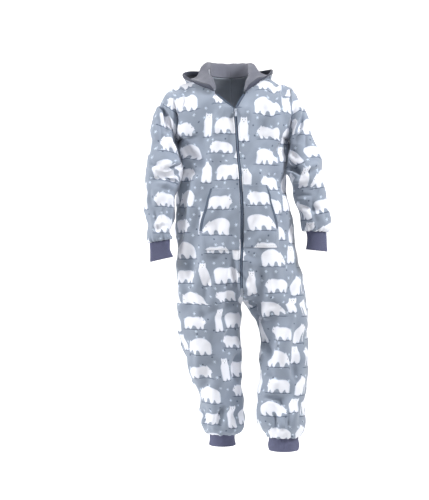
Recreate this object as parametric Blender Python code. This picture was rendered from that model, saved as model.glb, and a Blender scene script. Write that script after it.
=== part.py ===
"""An adult's hooded onesie in printed fleece, as it hangs on a wearer: hollow, hood on the back.

Metres, +Z up. The front faces -Y, and left and right are the viewer's, so +X is right.
The origin is in the neck opening, level with the top of the shoulders, where the wearer
holds the garment up. Each body panel is a grid of points: a row for each level, from the
zip, neckline or inseam edge to the armhole or side-seam edge. Neighbouring pieces share
the points of their seam, and each draws back from it by half of the seam's gap.
"""
import math

import bmesh
import bpy
import numpy as np
from mathutils import Matrix

# Driving dimensions
WALL = 0.003            # the fleece
LAYER = 0.0025          # the hood's outer fleece and its lining, each
RIB = 0.0035            # the doubled rib of the cuffs
SEAM = 0.0004           # the gap at every seam
SHARES = np.linspace(0, 1, 11)      # where a panel's columns lie, from its first edge to its last
YOKE_ROWS = 9           # rows from the underarm to the shoulder seam
UNDERARM_Z = -0.213
ARCH_Z = -0.784         # the top of the arch between the legs, at the zip
ARCH_SIDE_Z = -0.690    # and at the legs' crests
LEG_RUN = 0.506         # down a leg, from the crotch to the ankle cuff's top, hem's tuck included
ZIP_HALF = 0.0055       # from the middle of the zip to the edge of a front
ZIP_TOP_Z = -0.106      # the foot of the open V
ZIP_END_Z = -0.788      # the bottom slider's lower end
TAPE_WIDE = 0.013
TAPE_THICK = 0.0008
TAPE_GAP = 0.0016       # between a front's inside and the tape under it
COIL_HALF = 0.0029
COIL_THICK = 0.0018
COIL_GAP = 0.0009       # between the coil and the tape under it, which follows the fronts' slope
NECK_X = -0.008         # the neck stands this far from the origin
HOOD_HEM = 0.020        # width of the band round the hood's opening
TAB_LONG = 0.025
TAB_WIDE = 0.0080
TAB_THICK = 0.0014
SLIDER_OUT = 0.0016     # the slider's middle stands this far out of the fronts' edge
TAB_OUT = 0.0029        # and the tab's bar this far out of the slider's middle
FADE = 0.012            # how soon a front closes up at the ends of the zip

CLOTH = (0.37, 0.44, 0.52)
LINING = (0.24, 0.25, 0.31)
DARK = (0.06, 0.07, 0.11)
CUFF = (0.10, 0.10, 0.17)
METAL = (0.62, 0.64, 0.67)


def columns(names, *rows):
    """A table: named columns, with a row for each section or fold."""
    return dict(zip(names.split(), (np.array(column) for column in zip(*rows))))


# Sections of the trunk, underarm to crotch: the two side seams, the zip and the centre-back
# seam across the body, the depths in front of the side seams and behind them, and how far
# the section has forked into two legs (0.5 where they part).
TRUNK = columns(
    "z       left    right  zip    spine  front  back   fork",
    (-0.213, -0.188, 0.208, 0.020, 0.005, 0.146, 0.128, 0.00),
    (-0.250, -0.191, 0.2115, 0.022, 0.005, 0.152, 0.124, 0.00),
    (-0.300, -0.1935, 0.2125, 0.026, 0.005, 0.159, 0.119, 0.00),
    (-0.350, -0.191, 0.2095, 0.031, 0.006, 0.166, 0.114, 0.00),
    (-0.400, -0.196, 0.213, 0.034, 0.007, 0.171, 0.112, 0.00),
    (-0.460, -0.207, 0.220, 0.037, 0.009, 0.174, 0.116, 0.00),
    (-0.510, -0.213, 0.227, 0.038, 0.011, 0.173, 0.124, 0.03),
    (-0.560, -0.218, 0.239, 0.038, 0.014, 0.170, 0.134, 0.08),
    (-0.615, -0.221, 0.247, 0.038, 0.018, 0.166, 0.146, 0.16),
    (-0.670, -0.221, 0.255, 0.036, 0.023, 0.162, 0.154, 0.26),
    (-0.725, -0.220, 0.269, 0.036, 0.029, 0.158, 0.155, 0.36),
    (-0.765, -0.217, 0.278, 0.037, 0.034, 0.154, 0.151, 0.42),
    (-0.790, -0.215, 0.283, 0.039, 0.038, 0.150, 0.146, 0.455),
    (-0.810, -0.212, 0.287, 0.042, 0.042, 0.147, 0.141, 0.48),
    (-0.832, -0.210, 0.289, 0.045, 0.045, 0.143, 0.136, 0.50))

# Sections of each leg, by the way run down it: the outseam and the inseam across, their
# depth, and the depths in front of them and behind. The last rows tuck in to the cuff.
LEGS = {
    -1: columns(
        "run    z       outer   inner  mid    front  back",
        (0.000, -0.832, -0.210, 0.045, 0.000, 0.143, 0.136),
        (0.020, -0.852, -0.209, 0.040, 0.000, 0.140, 0.133),
        (0.050, -0.882, -0.207, 0.038, 0.000, 0.135, 0.129),
        (0.100, -0.932, -0.200, 0.038, 0.002, 0.127, 0.123),
        (0.170, -1.002, -0.187, 0.038, 0.006, 0.116, 0.115),
        (0.240, -1.072, -0.168, 0.038, 0.012, 0.106, 0.108),
        (0.290, -1.122, -0.145, 0.038, 0.018, 0.100, 0.102),
        (0.340, -1.172, -0.125, 0.039, 0.024, 0.094, 0.097),
        (0.380, -1.212, -0.118, 0.040, 0.028, 0.090, 0.094),
        (0.420, -1.252, -0.117, 0.047, 0.032, 0.088, 0.091),
        (0.450, -1.282, -0.114, 0.052, 0.034, 0.087, 0.089),
        (0.470, -1.303, -0.111, 0.046, 0.035, 0.083, 0.085),
        (0.486, -1.320, -0.104, 0.035, 0.036, 0.076, 0.077),
        (0.496, -1.331, -0.094, 0.026, 0.036, 0.068, 0.069),
        (0.501, -1.331, -0.087, 0.020, 0.036, 0.062, 0.063),
        (0.506, -1.327, -0.083, 0.016, 0.036, 0.059, 0.059)),
    1: columns(
        "run    z       outer  inner  mid     front  back",
        (0.000, -0.832, 0.289, 0.045, 0.000, 0.143, 0.136),
        (0.020, -0.852, 0.290, 0.061, -0.002, 0.140, 0.133),
        (0.045, -0.878, 0.290, 0.074, -0.006, 0.135, 0.129),
        (0.065, -0.898, 0.290, 0.090, -0.009, 0.131, 0.125),
        (0.090, -0.923, 0.290, 0.104, -0.013, 0.127, 0.121),
        (0.125, -0.958, 0.289, 0.111, -0.019, 0.121, 0.117),
        (0.175, -1.008, 0.289, 0.110, -0.029, 0.114, 0.111),
        (0.225, -1.058, 0.289, 0.106, -0.040, 0.108, 0.106),
        (0.300, -1.132, 0.284, 0.103, -0.060, 0.099, 0.099),
        (0.365, -1.196, 0.275, 0.096, -0.080, 0.092, 0.094),
        (0.410, -1.240, 0.274, 0.095, -0.094, 0.089, 0.091),
        (0.440, -1.269, 0.273, 0.100, -0.102, 0.087, 0.088),
        (0.465, -1.293, 0.269, 0.112, -0.108, 0.082, 0.084),
        (0.485, -1.313, 0.263, 0.125, -0.111, 0.075, 0.076),
        (0.497, -1.323, 0.255, 0.133, -0.112, 0.068, 0.068),
        (0.506, -1.318, 0.249, 0.139, -0.112, 0.061, 0.061))}

# The shoulder line as seen from the front, and the armhole and the front neckline by height
SHOULDER = columns(
    "x       z",
    (-0.240, -0.040),
    (-0.186, -0.012),
    (-0.130, 0.012),
    (-0.086, 0.033),
    (-0.006, 0.055),
    (0.074, 0.038),
    (0.140, 0.020),
    (0.190, 0.003),
    (0.240, -0.028))
ARMHOLE = columns(
    "z       left    right",
    (-0.213, -0.188, 0.208),
    (-0.190, -0.194, 0.214),
    (-0.140, -0.199, 0.221),
    (-0.095, -0.206, 0.224),
    (-0.055, -0.215, 0.226),
    (-0.010, -0.222, 0.224))
NECKLINE = columns(
    "z       left    right",
    (-0.106, 0.0125, 0.0125),
    (-0.085, -0.011, 0.022),
    (-0.060, -0.038, 0.036),
    (-0.044, -0.055, 0.046),
    (-0.020, -0.072, 0.060),
    (0.005, -0.081, 0.068),
    (0.036, -0.086, 0.074))
HOOD_CORNER_Z = -0.044      # the neckline's level where the hood begins
BACK_NECK = 0.90            # how far up the back the neckline starts, underarm to shoulder
CHEST_ROUND = 2.2           # how squarely the chest turns over to the shoulder seam
BACK_ROUND = 3.0            # and the back
SHOULDER_FLAT = 0.5         # the yoke is this much flatter across at the shoulder than at the underarm

# Rings of each sleeve: the outer and the inner side as seen from the front, the depth of
# the arm's middle and its half depth. The last rings tuck in to the wrist cuff.
SLEEVES = {
    -1: columns(
        "run    outer   outer_z inner   inner_z mid     deep",
        (0.000, -0.222, -0.030, -0.188, -0.213, 0.000, 0.080),
        (0.030, -0.243, -0.046, -0.1935, -0.222, 0.000, 0.080),
        (0.065, -0.265, -0.074, -0.1945, -0.235, 0.000, 0.077),
        (0.100, -0.284, -0.110, -0.1945, -0.250, -0.012, 0.073),
        (0.150, -0.297, -0.158, -0.1930, -0.271, -0.030, 0.070),
        (0.210, -0.309, -0.218, -0.1900, -0.300, -0.047, 0.068),
        (0.280, -0.317, -0.288, -0.1830, -0.334, -0.060, 0.067),
        (0.340, -0.321, -0.348, -0.1910, -0.368, -0.067, 0.064),
        (0.410, -0.324, -0.412, -0.2030, -0.418, -0.071, 0.060),
        (0.470, -0.324, -0.470, -0.2080, -0.472, -0.077, 0.056),
        (0.530, -0.322, -0.530, -0.2180, -0.524, -0.083, 0.052),
        (0.575, -0.318, -0.577, -0.2230, -0.562, -0.087, 0.049),
        (0.600, -0.313, -0.600, -0.2200, -0.584, -0.089, 0.047),
        (0.610, -0.308, -0.604, -0.2240, -0.590, -0.090, 0.043),
        (0.618, -0.303, -0.598, -0.2280, -0.586, -0.090, 0.038)),
    1: columns(
        "run    outer  outer_z inner   inner_z mid     deep",
        (0.000, 0.224, -0.014, 0.2080, -0.213, 0.000, 0.080),
        (0.030, 0.246, -0.040, 0.2125, -0.221, 0.000, 0.081),
        (0.070, 0.267, -0.080, 0.2130, -0.233, 0.000, 0.078),
        (0.110, 0.285, -0.122, 0.2145, -0.246, -0.012, 0.074),
        (0.160, 0.303, -0.172, 0.2130, -0.266, -0.028, 0.071),
        (0.225, 0.323, -0.240, 0.2100, -0.302, -0.043, 0.069),
        (0.290, 0.338, -0.304, 0.2070, -0.338, -0.054, 0.067),
        (0.355, 0.352, -0.372, 0.2190, -0.376, -0.060, 0.063),
        (0.420, 0.361, -0.438, 0.2350, -0.432, -0.064, 0.059),
        (0.480, 0.365, -0.500, 0.2520, -0.484, -0.065, 0.055),
        (0.525, 0.369, -0.536, 0.2600, -0.530, -0.064, 0.052),
        (0.548, 0.369, -0.556, 0.2640, -0.551, -0.067, 0.049),
        (0.558, 0.363, -0.563, 0.2710, -0.560, -0.068, 0.044),
        (0.566, 0.3575, -0.557, 0.2810, -0.556, -0.068, 0.038))}

# Cuffs: the middle of each ring, its half width and half depth, and its tilt across
WRISTS = {
    -1: columns(
        "x        y       z       wide    deep   tilt",
        (-0.2655, -0.090, -0.5935, 0.0375, 0.038, 0.16),
        (-0.2665, -0.091, -0.6150, 0.0365, 0.037, 0.14),
        (-0.2655, -0.093, -0.6370, 0.0370, 0.038, 0.20),
        (-0.2605, -0.095, -0.6660, 0.0430, 0.039, 0.22)),
    1: columns(
        "x       y       z       wide    deep   tilt",
        (0.3190, -0.068, -0.5588, 0.0382, 0.038, 0.00),
        (0.3205, -0.071, -0.5830, 0.0360, 0.037, -0.02),
        (0.3200, -0.074, -0.6080, 0.0370, 0.038, -0.06),
        (0.3190, -0.077, -0.6330, 0.0400, 0.040, -0.10))}
ANKLES = {
    -1: columns(
        "x       y      z       wide    deep   tilt",
        (-0.0335, 0.036, -1.3285, 0.0495, 0.059, 0.0),
        (-0.0335, 0.036, -1.3430, 0.0480, 0.057, 0.0),
        (-0.0330, 0.036, -1.3590, 0.0485, 0.057, 0.0),
        (-0.0325, 0.036, -1.3760, 0.0510, 0.060, 0.0)),
    1: columns(
        "x      y       z       wide    deep   tilt",
        (0.194, -0.112, -1.3195, 0.0550, 0.061, 0.0),
        (0.194, -0.112, -1.3370, 0.0555, 0.060, 0.0),
        (0.194, -0.113, -1.3550, 0.0580, 0.061, 0.0),
        (0.194, -0.113, -1.3730, 0.0550, 0.062, 0.0))}

# The hood's section at each turn round the neck, from the front (0) to the back (180):
# radius from the neck's middle and height of the crest at the neck, the fold outside it,
# the dip of the lining, the belly of the bag and the rim of the opening
HOOD = columns(
    "turn crest_r crest_z fold_r fold_z dip_r  dip_z   belly_r belly_z rim_r  rim_z",
    (27, 0.1140, -0.034, 0.1175, -0.031, 0.1215, -0.034, 0.124, -0.038, 0.127, -0.042),
    (38, 0.0990, 0.003, 0.107, -0.004, 0.117, -0.018, 0.124, -0.026, 0.129, -0.031),
    (50, 0.0900, 0.024, 0.100, 0.012, 0.116, -0.006, 0.130, -0.014, 0.136, -0.020),
    (62, 0.0820, 0.042, 0.095, 0.026, 0.117, 0.006, 0.139, -0.001, 0.149, -0.003),
    (76, 0.0760, 0.058, 0.094, 0.040, 0.122, 0.015, 0.152, 0.008, 0.163, 0.015),
    (90, 0.0730, 0.071, 0.095, 0.053, 0.129, 0.022, 0.162, 0.017, 0.173, 0.033),
    (105, 0.0800, 0.081, 0.103, 0.066, 0.135, 0.020, 0.169, 0.018, 0.175, 0.050),
    (120, 0.0880, 0.085, 0.110, 0.070, 0.146, -0.006, 0.180, 0.000, 0.168, 0.060),
    (135, 0.0900, 0.086, 0.111, 0.069, 0.157, -0.058, 0.190, -0.036, 0.163, 0.064),
    (150, 0.0900, 0.088, 0.111, 0.068, 0.162, -0.112, 0.196, -0.076, 0.159, 0.066),
    (165, 0.0900, 0.089, 0.110, 0.066, 0.163, -0.144, 0.199, -0.098, 0.156, 0.068),
    (180, 0.0900, 0.089, 0.110, 0.066, 0.163, -0.153, 0.201, -0.103, 0.155, 0.068))
HOOD_STATIONS = 15      # a side, the middle of the back included
HOOD_PARTS = (2, 1, 3, 2, 3)    # its columns from the neck to the crest, fold, dip, belly and rim
HOOD_STEPS = sum(HOOD_PARTS) + 1
HEM_GAP = 0.0019        # between the hood's cloth and the band, whose seam twists
RIGHT_REACH = 0.95      # the hood's right rim stands nearer than the left one
RIGHT_CORNER = (0.0065, -0.0055)    # and its front corner out and down
CORNER_TURN = 35        # over so many degrees of turn
RIGHT_LIFT = 0.017      # and higher

# Large folds, as seen from the front: where each starts and ends, its half width, and how
# far it stands out (or sinks in, below 0); face is -1 for the front and 1 for the back
BODY_FOLDS = columns(
    "face x0     z0      x1     z1      wide   out",
    (-1, -0.004, -0.650, 0.014, -0.800, 0.018, -0.008),
    (-1, 0.070, -0.810, 0.104, -0.900, 0.018, -0.012),
    (-1, 0.085, -0.880, 0.160, -0.905, 0.018, -0.011),
    (-1, 0.118, -0.935, 0.168, -1.030, 0.020, -0.010),
    (-1, 0.026, -1.005, 0.008, -1.135, 0.020, -0.010),
    (-1, -0.120, -0.880, -0.030, -0.845, 0.022, -0.009),
    (-1, -0.036, -1.215, -0.058, -1.300, 0.018, -0.012),
    (-1, -0.112, -1.220, -0.094, -1.310, 0.018, -0.010),
    (-1, -0.150, -0.640, -0.165, -0.900, 0.034, -0.010),
    (-1, 0.205, -0.005, 0.206, -0.080, 0.018, -0.009),
    (-1, 0.188, -0.215, 0.130, -0.290, 0.024, -0.010),
    (-1, -0.168, -0.225, -0.105, -0.330, 0.026, -0.011),
    (-1, 0.060, -0.300, 0.160, -0.350, 0.026, -0.006),
    (-1, 0.235, -0.660, 0.215, -0.830, 0.030, -0.009),
    (-1, 0.240, -1.020, 0.215, -1.200, 0.026, -0.010),
    (-1, 0.125, -1.170, 0.210, -1.215, 0.022, -0.009),
    (1, 0.030, -0.700, 0.160, -0.800, 0.026, -0.013),
    (1, 0.010, -0.730, -0.110, -0.810, 0.026, -0.013),
    (1, 0.110, -0.850, 0.210, -0.890, 0.022, -0.012),
    (1, -0.020, -0.850, -0.130, -0.895, 0.022, -0.012),
    (1, -0.120, -0.390, 0.080, -0.425, 0.030, -0.012),
    (1, -0.030, -0.475, 0.170, -0.445, 0.030, -0.011),
    (1, 0.130, -1.030, 0.260, -1.055, 0.022, -0.011),
    (1, -0.130, -1.045, 0.000, -1.075, 0.022, -0.011),
    (1, 0.140, -1.190, 0.150, -1.300, 0.020, -0.011),
    (1, -0.060, -1.200, -0.050, -1.310, 0.020, -0.011),
    (1, -0.160, -0.235, -0.060, -0.310, 0.026, -0.011),
    (1, 0.180, -0.235, 0.080, -0.310, 0.026, -0.011))
SLEEVE_FOLDS = columns(
    "face x0     z0      x1      z1      wide   out",
    (-1, -0.250, -0.085, -0.243, -0.190, 0.017, -0.014),
    (-1, -0.224, -0.120, -0.200, -0.250, 0.017, -0.013),
    (-1, -0.190, -0.325, -0.270, -0.350, 0.018, -0.014),
    (-1, -0.200, -0.385, -0.305, -0.375, 0.018, -0.009),
    (-1, -0.225, -0.440, -0.245, -0.560, 0.018, -0.009),
    (-1, 0.210, -0.325, 0.285, -0.355, 0.018, -0.014),
    (-1, 0.228, -0.385, 0.325, -0.410, 0.018, -0.010),
    (-1, 0.256, -0.470, 0.335, -0.485, 0.018, -0.009),
    (-1, 0.262, -0.110, 0.248, -0.235, 0.018, -0.011),
    (1, -0.190, -0.340, -0.290, -0.310, 0.019, -0.012),
    (1, -0.200, -0.405, -0.300, -0.425, 0.018, -0.010),
    (1, 0.210, -0.335, 0.320, -0.320, 0.019, -0.012),
    (1, 0.235, -0.400, 0.340, -0.425, 0.018, -0.010),
    (1, -0.242, -0.090, -0.232, -0.200, 0.018, -0.010),
    (1, 0.255, -0.090, 0.248, -0.200, 0.018, -0.010))

# A pocket's outline as seen from the front: its upper, slanted, side and lower edges
POCKETS = {
    -1: columns(
        "z       outer",
        (-0.404, -0.078),
        (-0.454, -0.090),
        (-0.510, -0.105),
        (-0.560, -0.118),
        (-0.595, -0.113),
        (-0.631, -0.107)),
    1: columns(
        "z       outer",
        (-0.390, 0.130),
        (-0.450, 0.146),
        (-0.505, 0.160),
        (-0.551, 0.171),
        (-0.590, 0.173),
        (-0.622, 0.174))}
POCKET_WALL = 0.0025
POCKET_PUFF = 0.004     # the patch stands off the front in its middle
POCKET_GAP = 0.0012     # and everywhere by this
POCKET_INSET = 0.0065   # its straight side lies this far from the middle of the zip


def curve(table, key, name, at):
    """A smooth curve through a column of a table, read at values of its key column."""
    order = np.argsort(table[key])
    keys = table[key][order].astype(float)
    values = table[name][order].astype(float)
    slopes = np.gradient(values, keys)
    at = np.clip(np.asarray(at, dtype=float), keys[0], keys[-1])
    i = np.clip(np.searchsorted(keys, at, side="right") - 1, 0, len(keys) - 2)
    span = keys[i + 1] - keys[i]
    t = (at - keys[i]) / span
    rise = values[i + 1] - values[i]
    ease = t * t * (3 - 2 * t)
    lead = t * (1 - t) ** 2 * slopes[i] * span
    trail = t * t * (1 - t) * slopes[i + 1] * span
    return values[i] + rise * ease + lead - trail


def side_name(side):
    return "left" if side < 0 else "right"


def lobe_row(side, face, section, first, shares):
    """Points round one lobe of a section, from its inner angle to the side seam."""
    angles = first + (math.pi - first) * shares
    across = section["lobe"] - side * section["half"] * np.cos(angles)
    depth = section["front"] if face < 0 else section["back"]
    deep = section["mid"] + face * depth * np.sin(angles)
    return np.stack([across, deep, np.full(len(shares), section["z"])], axis=1)


def trunk_row(side, face, z, shares):
    """A row of a front or a back between the underarm and the crotch.

    It is level between the two legs' crests, and arches down between them at the crotch."""
    middle = curve(TRUNK, "z", "zip" if face < 0 else "spine", z)
    reach = abs(curve(TRUNK, "z", side_name(side), z) - middle)
    fork = float(np.clip(curve(TRUNK, "z", "fork", z), 0.0, 0.5))
    section = {
        "z": z,
        "lobe": middle + side * fork * reach,
        "half": reach * (1 - fork),
        "mid": 0.0,
        "front": curve(TRUNK, "z", "front", z),
        "back": curve(TRUNK, "z", "back", z)}
    row = lobe_row(side, face, section, math.acos(min(1.0, fork / (1 - fork))), shares)
    if fork > 0:
        inside = np.clip(1 - side * (row[:, 0] - middle) / (fork * reach), 0, 1)
        top = ARCH_SIDE_Z + (ARCH_Z - ARCH_SIDE_Z) * inside
        gone = np.clip((top - z) / (top - TRUNK["z"][-1]), 0, 1)
        gone = gone * gone * (3 - 2 * gone)
        depth = face * (section["front"] if face < 0 else section["back"])
        row[:, 1] = np.where(inside > 0, depth * np.sqrt(1 - gone * inside ** 2), row[:, 1])
    return row


def leg_row(side, face, run, shares):
    """A row of a leg: its section is a whole loop, from the inseam to the outseam."""
    table = LEGS[side]
    outer = curve(table, "run", "outer", run)
    inner = curve(table, "run", "inner", run)
    section = {name: curve(table, "run", name, run) for name in ("z", "mid", "front", "back")}
    section["lobe"] = (outer + inner) / 2
    section["half"] = abs(outer - inner) / 2
    return lobe_row(side, face, section, 0.0, shares)


def yoke_height(x, rise):
    """The level that is the given share of the way up from the underarm to the shoulder."""
    return UNDERARM_Z + rise * (curve(SHOULDER, "x", "z", x) - UNDERARM_Z)


def on_edge(table, side, rise, x):
    """Where a level that rises to the shoulder line meets an edge that a table gives."""
    for _ in range(12):
        x = float(curve(table, "z", side_name(side), yoke_height(x, rise)))
    return x


def yoke_row(side, face, rise, shares):
    """A row between the underarm and the shoulder seam, edge of the neck to armhole."""
    middle = TRUNK["zip" if face < 0 else "spine"][0] * (1 - rise)
    end = on_edge(ARMHOLE, side, rise, side * 0.21)
    reach = abs(end - middle) * (1 + SHOULDER_FLAT * rise ** 0.7)
    first = middle
    if face < 0 and yoke_height(middle, rise) > ZIP_TOP_Z:
        first = on_edge(NECKLINE, side, rise, side * 0.05)
    if face > 0 and rise > BACK_NECK:
        spread = math.sqrt((rise - BACK_NECK) / (1 - BACK_NECK))
        first = middle + (on_edge(NECKLINE, side, 1.0, side * 0.05) - middle) * spread
    start, stop = math.asin((first - middle) / reach), math.asin((end - middle) / reach)
    angles = start + (stop - start) * shares
    across = middle + reach * np.sin(angles)
    if face < 0:
        depth = TRUNK["front"][0] * (1 - rise ** CHEST_ROUND) ** 0.6
    else:
        depth = TRUNK["back"][0] * (1 - rise ** BACK_ROUND) ** 0.6
    return np.stack([across, face * depth * np.cos(angles), yoke_height(across, rise)], axis=1)


def body_levels():
    """The rows of a panel: the share risen, the level, or the run down the leg."""
    rises = np.sin(np.linspace(math.pi / 2, 0, YOKE_ROWS + 1))[:-1]
    levels = np.concatenate([
        np.linspace(UNDERARM_Z, -0.725, 15),
        [-0.755, -0.780, -0.797, -0.811, -0.822, -0.829]])
    runs = np.concatenate([
        [0.0, 0.012, 0.030],
        np.linspace(0.055, 0.440, 11),
        [0.462, 0.480, 0.492, 0.500, LEG_RUN]])
    return rises, levels, runs


def body_panel(side, face):
    """The points of a front or a back, from the shoulder seam down to the ankle cuff."""
    rises, levels, runs = body_levels()
    rows = [yoke_row(side, face, rise, SHARES) for rise in rises]
    rows += [trunk_row(side, face, z, SHARES) for z in levels]
    rows += [leg_row(side, face, run, SHARES) for run in runs]
    return np.array(rows)


def sleeve_tube(side, front, back):
    """The rings of a sleeve: the armhole's own points, then sections down to the cuff."""
    loop = np.concatenate([front[:YOKE_ROWS + 1, -1], back[YOKE_ROWS - 1:0:-1, -1]])
    count = len(loop)
    table = SLEEVES[side]
    top, bottom = loop[0], loop[YOKE_ROWS]
    axis = (top - bottom) / 2
    middle = (top + bottom) / 2
    share = (loop - middle) @ axis / (axis @ axis)
    aside = loop - middle - np.outer(share, axis)
    depth = np.abs(loop[:, 1]).max()
    spread = np.arctan2(-loop[:, 1] / depth, share)
    spread = np.where(spread < -1e-6, spread + 2 * math.pi, spread)
    even = np.linspace(0, 2 * math.pi, count, endpoint=False)
    rings = [loop]
    runs = np.concatenate([[0.022, 0.05], np.linspace(0.09, table["run"][-4] - 0.01, 10),
                           table["run"][-3:]])
    for k, run in enumerate(runs):
        blend = min(1.0, (k + 1) / 4)
        at = {name: curve(table, "run", name, run) for name in table}
        outer = np.array([at["outer"], at["mid"], at["outer_z"]])
        inner = np.array([at["inner"], at["mid"], at["inner_z"]])
        angle = spread * (1 - blend) + even * blend
        along = share * (1 - blend) + np.cos(angle) * blend
        ring = (outer + inner) / 2 + np.outer(along, (outer - inner) / 2)
        ring[:, 1] += loop[:, 1] * (1 - blend) - at["deep"] * np.sin(angle) * blend
        ring[:, 0] += aside[:, 0] * (1 - blend) ** 2
        rings.append(ring)
    return np.array(rings)


def cuff_tube(table, count=20):
    """The rings of a cuff, top to bottom."""
    even = np.linspace(0, 2 * math.pi, count, endpoint=False)
    rings = []
    for x, y, z, wide, deep, tilt in zip(*(table[name] for name in "x y z wide deep tilt".split())):
        across = wide * np.cos(even)
        rings.append(np.stack([x + across, y - deep * np.sin(even), z + tilt * across], axis=1))
    return np.array(rings)


def neck_at(turn, side, front, back):
    """The neckline's radius and height at a turn round the neck, from the panels' edges."""
    rises, _, _ = body_levels()
    points = [row[0] for row in front[YOKE_ROWS - 1::-1] if row[0][2] > HOOD_CORNER_Z - 0.03]
    points += [row[0] for row, rise in zip(back, rises) if rise > BACK_NECK]
    points.append(yoke_row(side, 1, BACK_NECK, SHARES)[0])
    points = np.array(points)
    turns = np.degrees(np.arctan2(np.abs(points[:, 0] - NECK_X), -points[:, 1]))
    order = np.argsort(turns)
    radii = np.hypot(points[:, 0] - NECK_X, points[:, 1])
    return (np.interp(turn, turns[order], radii[order]),
            np.interp(turn, turns[order], points[order, 2]))


def hood_section(side, turn, front, back):
    """A fine polyline through the hood's section at one turn round the neck, and how far
    along it the section's named points lie."""
    radius, height = neck_at(turn, side, front, back)
    aside = math.sin(math.radians(turn)) ** (2 if turn < 90 else 10) if side > 0 else 0.0
    corner = max(0.0, 1 - (turn - HOOD["turn"][0]) / CORNER_TURN) if side > 0 else 0.0
    pairs = [(radius, height + 0.0015)]
    for name in ("crest", "fold", "dip", "belly", "rim"):
        outside = 0.0 if name == "crest" else aside
        r = float(curve(HOOD, "turn", name + "_r", turn)) * (1 - (1 - RIGHT_REACH) * outside)
        z = float(curve(HOOD, "turn", name + "_z", turn)) + RIGHT_LIFT * outside
        pairs.append((r + RIGHT_CORNER[0] * corner, z + RIGHT_CORNER[1] * corner))
    pairs = np.array(pairs)
    step = np.sqrt(np.hypot(*np.diff(pairs, axis=0).T))
    keys = np.concatenate([[0.0], np.cumsum(step)])
    table = {"key": keys, "r": pairs[:, 0], "z": pairs[:, 1]}
    at = np.linspace(0, keys[-1], 120)
    r = curve(table, "key", "r", at)
    z = curve(table, "key", "z", at)
    angle = math.radians(turn)
    line = np.stack([NECK_X + side * r * math.sin(angle), -r * math.cos(angle), z], axis=1)
    return line, np.interp(keys, at, travelled(line))


def travelled(line):
    """How far along a polyline each of its points lies."""
    return np.concatenate([[0.0], np.cumsum(np.linalg.norm(np.diff(line, axis=0), axis=1))])


def resample(line, distances):
    """Points at given distances along a polyline."""
    return np.stack([np.interp(distances, travelled(line), line[:, i]) for i in range(3)], axis=1)


def hood_grid(side, front, back):
    """The hood from its front corner to the middle of the back, and its hem's band."""
    cloth = []
    band = []
    for turn in np.linspace(HOOD["turn"][0], 180, HOOD_STATIONS):
        line, marks = hood_section(side, turn, front, back)
        total = marks[-1]
        hem = min(HOOD_HEM, total * 0.30)
        end = total - hem - HEM_GAP
        left = np.arange(len(marks) - 1, -1, -1)
        marks = np.minimum(marks, end * (1 - 0.11 * left))
        marks[-1] = end
        spots = np.interp(np.arange(HOOD_STEPS), np.cumsum((0,) + HOOD_PARTS), marks)
        cloth.append(resample(line, spots))
        band.append(resample(line, np.linspace(total - hem, total, 3)))
    return np.array(cloth), np.array(band)


def corner_normals(grid, closed):
    """The normal at each corner of each quad of a grid, weighted by the corner's angle."""
    right = np.roll(grid, -1, axis=1) if closed else grid[:, 1:]
    left = grid if closed else grid[:, :-1]
    found = []
    for low in (False, True):
        along = (right - left)[1:] if low else (right - left)[:-1]
        for far in (False, True):
            down = (right[1:] - right[:-1]) if far else (left[1:] - left[:-1])
            normal = np.cross(along, down)
            size = np.linalg.norm(normal, axis=2, keepdims=True)
            lean = np.arctan2(size, (along * down).sum(axis=2, keepdims=True))
            angle = lean if low == far else math.pi - lean
            found.append((low, far, normal / np.maximum(size, 1e-12) * angle))
    return found


def shared_normals(grids):
    """Unit normals at each point of each grid, summed over every grid that meets there."""
    sums = {}
    keyed = {}
    for name, (grid, closed, flip) in grids.items():
        total = np.zeros_like(grid)
        for low, far, normals in corner_normals(grid, closed):
            rows = total[1:] if low else total[:-1]
            if closed:
                rows += np.roll(normals, 1 if far else 0, axis=1) * flip
            elif far:
                rows[:, 1:] += normals * flip
            else:
                rows[:, :-1] += normals * flip
        keys = [tuple(point) for point in np.round(grid.reshape(-1, 3) * 1e5).astype(int)]
        keyed[name] = keys
        for key, value in zip(keys, total.reshape(-1, 3)):
            sums[key] = sums.get(key, 0) + value
    result = {}
    for name, (grid, _, _) in grids.items():
        normals = np.array([sums[key] for key in keyed[name]]).reshape(grid.shape)
        result[name] = normals / np.linalg.norm(normals, axis=2, keepdims=True)
    return result


def folded(grid, normals, folds):
    """The grid with its folds raised or sunk along its normals."""
    out = np.zeros(grid.shape[:2])
    spot = grid[:, :, [0, 2]]
    for face, x0, z0, x1, z1, wide, high in zip(*folds.values()):
        start = np.array([x0, z0])
        way = np.array([x1, z1]) - start
        t = ((spot - start) @ way) / (way @ way)
        nearest = start + np.clip(t, 0, 1)[:, :, None] * way
        gap = np.linalg.norm(spot - nearest, axis=2)
        taper = np.clip(1.15 - np.abs(2 * np.clip(t, -0.3, 1.3) - 1) ** 3, 0, 1)
        facing = np.clip(face * normals[:, :, 1] * 1.6, 0, 1)
        out += high * np.exp(-(gap / wide) ** 2) * taper * facing
    return grid + out[:, :, None] * normals


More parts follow.
